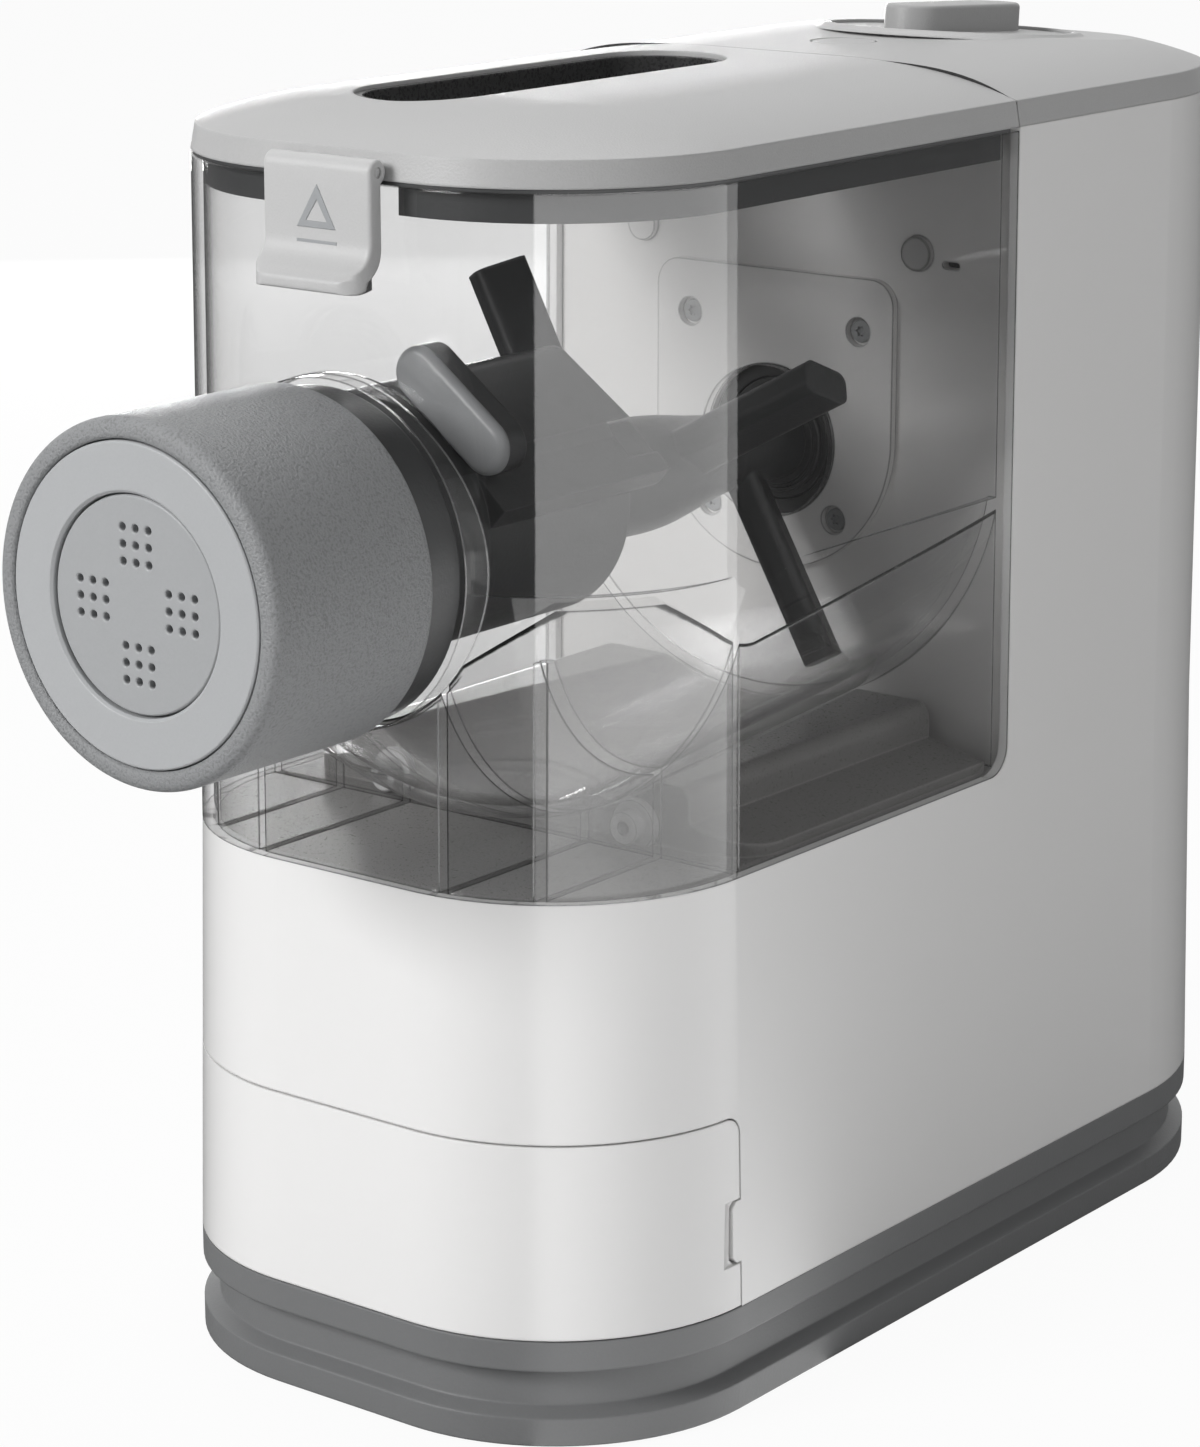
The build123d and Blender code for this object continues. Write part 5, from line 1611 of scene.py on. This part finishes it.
@dataclass
class Studio:
    """Floor, backdrop, lamps and camera.

    Attributes:
        camera_place: Where the camera stands, in metres.
        azimuth: Turn of the view about the vertical, in degrees.
        elevation: Angle at which it looks down, in degrees.
        lens: Focal length in millimetres.
        sensor: Width of the sensor in millimetres.
        near: Distance from which the camera sees, in metres.
        lamps: The softboxes.
        target: What they point at.
        floor_reach: Half the floor's side.
        paper: Brightness of the floor's paper.
        floor_white: Share of plain white over that paper, as the camera sees it.
        card: Bearings between which a pale card shows in glossy faces.
        card_centre: Point on the floor that its bearings are counted about.
        card_glow: Brightness of the card in the floor.
        card_high: Brightness of the card above the floor.
        card_deep: Share of the card's glow in the floor that is left behind clear walls.
        skins: Clear faces that a ray passes before only that share is left.
        back: Bearings between which the room behind is as bright as the card above the floor.
        floor_dim: Brightness of the floor outside the card, in glossy faces.
        room_dim: Brightness of the room outside the card, in glossy faces.
        room: Brightness of the room for everything else.
        bounces: Most bounces of a ray.
        glass_bounces: Most bounces inside bending glass.
        clear_faces: Most clear faces that a ray goes straight through.
    """

    camera_place: Point = (0.5463, -0.7248, 0.3694)
    azimuth: float = 37.874
    elevation: float = 15.02
    lens: float = 104.80
    sensor: float = 36.0
    near: float = 0.05
    lamps: tuple[Softbox, ...] = (
        Softbox("key_left", place=(-0.72, -1.85, 1.1), size=(0.7, 0.9), power=36.0),
        Softbox("top", place=(-0.3, 0.5, 1.7), size=(1.2, 1.2), power=9.0),
        Softbox("rim_left", place=(-1.02, 1.12, 0.20), size=(0.5, 0.3), power=9.0),
        Softbox("fill_right", place=(1.9, -0.1, 0.7), size=(1.2, 1.0), power=2.5))
    target: Point = (0.0, 0.0, 0.15)
    floor_reach: float = 6.0
    paper: float = 0.56
    floor_white: float = 0.95
    card: Flat = (28.5, 141.0)
    card_centre: Flat = (0.030, -0.075)
    card_glow: float = 2.3
    card_high: float = 0.9
    card_deep: float = 0.25
    skins: float = 2.5
    back: Flat = (-180.0, -95.0)
    floor_dim: float = 0.10
    room_dim: float = 0.20
    room: float = 0.38
    bounces: int = 24
    glass_bounces: int = 20
    clear_faces: int = 40

    def camera(self) -> None:
        """Set up the camera."""
        data = bpy.data.cameras.new("camera")
        data.lens = self.lens
        data.sensor_width = self.sensor
        data.clip_start = self.near
        holder = bpy.data.objects.new("camera", data)
        holder.location = self.camera_place
        holder.rotation_euler = (math.radians(90 - self.elevation), 0, math.radians(self.azimuth))
        bpy.context.scene.collection.objects.link(holder)
        bpy.context.scene.camera = holder

    def seen(self, sheet: NodeSheet, path: Node) -> Socket:
        """Rays that show the white background."""
        return sheet.math("MAXIMUM", path.outputs["Is Camera Ray"],
                          path.outputs["Is Transmission Ray"])

    def floor(self) -> None:
        """Lay the pale floor."""
        reach = self.floor_reach
        mesh = bpy.data.meshes.new("floor")
        mesh.from_pydata([(-reach, -reach, 0), (reach, -reach, 0), (reach, reach, 0),
                          (-reach, reach, 0)], [], [(0, 1, 2, 3)])
        floor = Mesher.stand("floor", mesh)
        sheet, made = NodeSheet.material("floor")
        paper = sheet.add("ShaderNodeBsdfDiffuse", Color=(*grey(self.paper), 1))
        white = sheet.add("ShaderNodeEmission", Color=WHITE)
        path = sheet.add("ShaderNodeLightPath")
        place = sheet.add("ShaderNodeTexCoord")
        card = sheet.sector(place.outputs["Object"], self.card_centre, *self.card)
        level = sheet.add("ShaderNodeEmission")
        outer = sheet.math("LESS_THAN", path.outputs["Transparent Depth"], self.skins)
        lit = sheet.math("MULTIPLY", card, sheet.spread(outer, self.card_deep, 1.0, 0.0, 1.0))
        glow = sheet.spread(lit, self.floor_dim, self.card_glow, 0.0, 1.0)
        sheet.join(glow, level.inputs["Strength"])
        share = sheet.math("MULTIPLY", self.seen(sheet, path), self.floor_white)
        shown = sheet.blend(share, paper.outputs[0], white.outputs[0])
        sheet.end(sheet.blend(path.outputs["Is Glossy Ray"], shown, level.outputs[0]))
        mesh.materials.append(made)

    def world(self) -> None:
        """Fill the room with plain light and show white behind everything."""
        world = bpy.data.worlds.new("room")
        world.use_nodes = True
        bpy.context.scene.world = world
        sheet = NodeSheet(world.node_tree)
        room = world.node_tree.nodes["Background"]
        room.inputs["Color"].default_value = WHITE
        room.inputs["Strength"].default_value = self.room
        white = sheet.add("ShaderNodeBackground", Color=WHITE, Strength=1.0)
        gleam = sheet.add("ShaderNodeBackground", Color=WHITE)
        path = sheet.add("ShaderNodeLightPath")
        place = sheet.add("ShaderNodeTexCoord")
        lit = sheet.math("MAXIMUM", *(sheet.sector(place.outputs["Generated"], (0.0, 0.0), *span)
                                      for span in (self.card, self.back)))
        glow = sheet.spread(lit, self.room_dim, self.card_high, 0.0, 1.0)
        sheet.join(glow, gleam.inputs["Strength"])
        shown = sheet.blend(path.outputs["Is Glossy Ray"], room.outputs[0], gleam.outputs[0])
        full = sheet.blend(self.seen(sheet, path), shown, white.outputs[0])
        sheet.join(full, world.node_tree.nodes["World Output"].inputs["Surface"])

    def build(self) -> None:
        """Set up the whole studio."""
        scene = bpy.context.scene
        scene.view_settings.view_transform = "Standard"
        scene.cycles.max_bounces = self.bounces
        scene.cycles.transmission_bounces = self.glass_bounces
        scene.cycles.transparent_max_bounces = self.clear_faces
        self.camera()
        self.floor()
        self.world()
        for lamp in self.lamps:
            lamp.hang(self.target)
        LOG.info("studio is lit")


# ---------------------------------------------------------------- build
PARTS: tuple[type[SubAssembly], ...] = (Base, Housing, Drawer, Drive, TowerFront, Stirrer, Extruder,
                                        DieNut, Lid, Latch, RearCover, StartButton, SelectorKnob)


def main() -> None:
    """Light the studio, then build and dress the machine."""
    logging.basicConfig(level=logging.INFO, format="%(name)s: %(message)s")
    Studio().build()
    finisher = Finisher()
    for part in PARTS:
        part(finisher).build()
        LOG.info("%s is done", part.__name__)


if __name__ == "__main__":
    main()
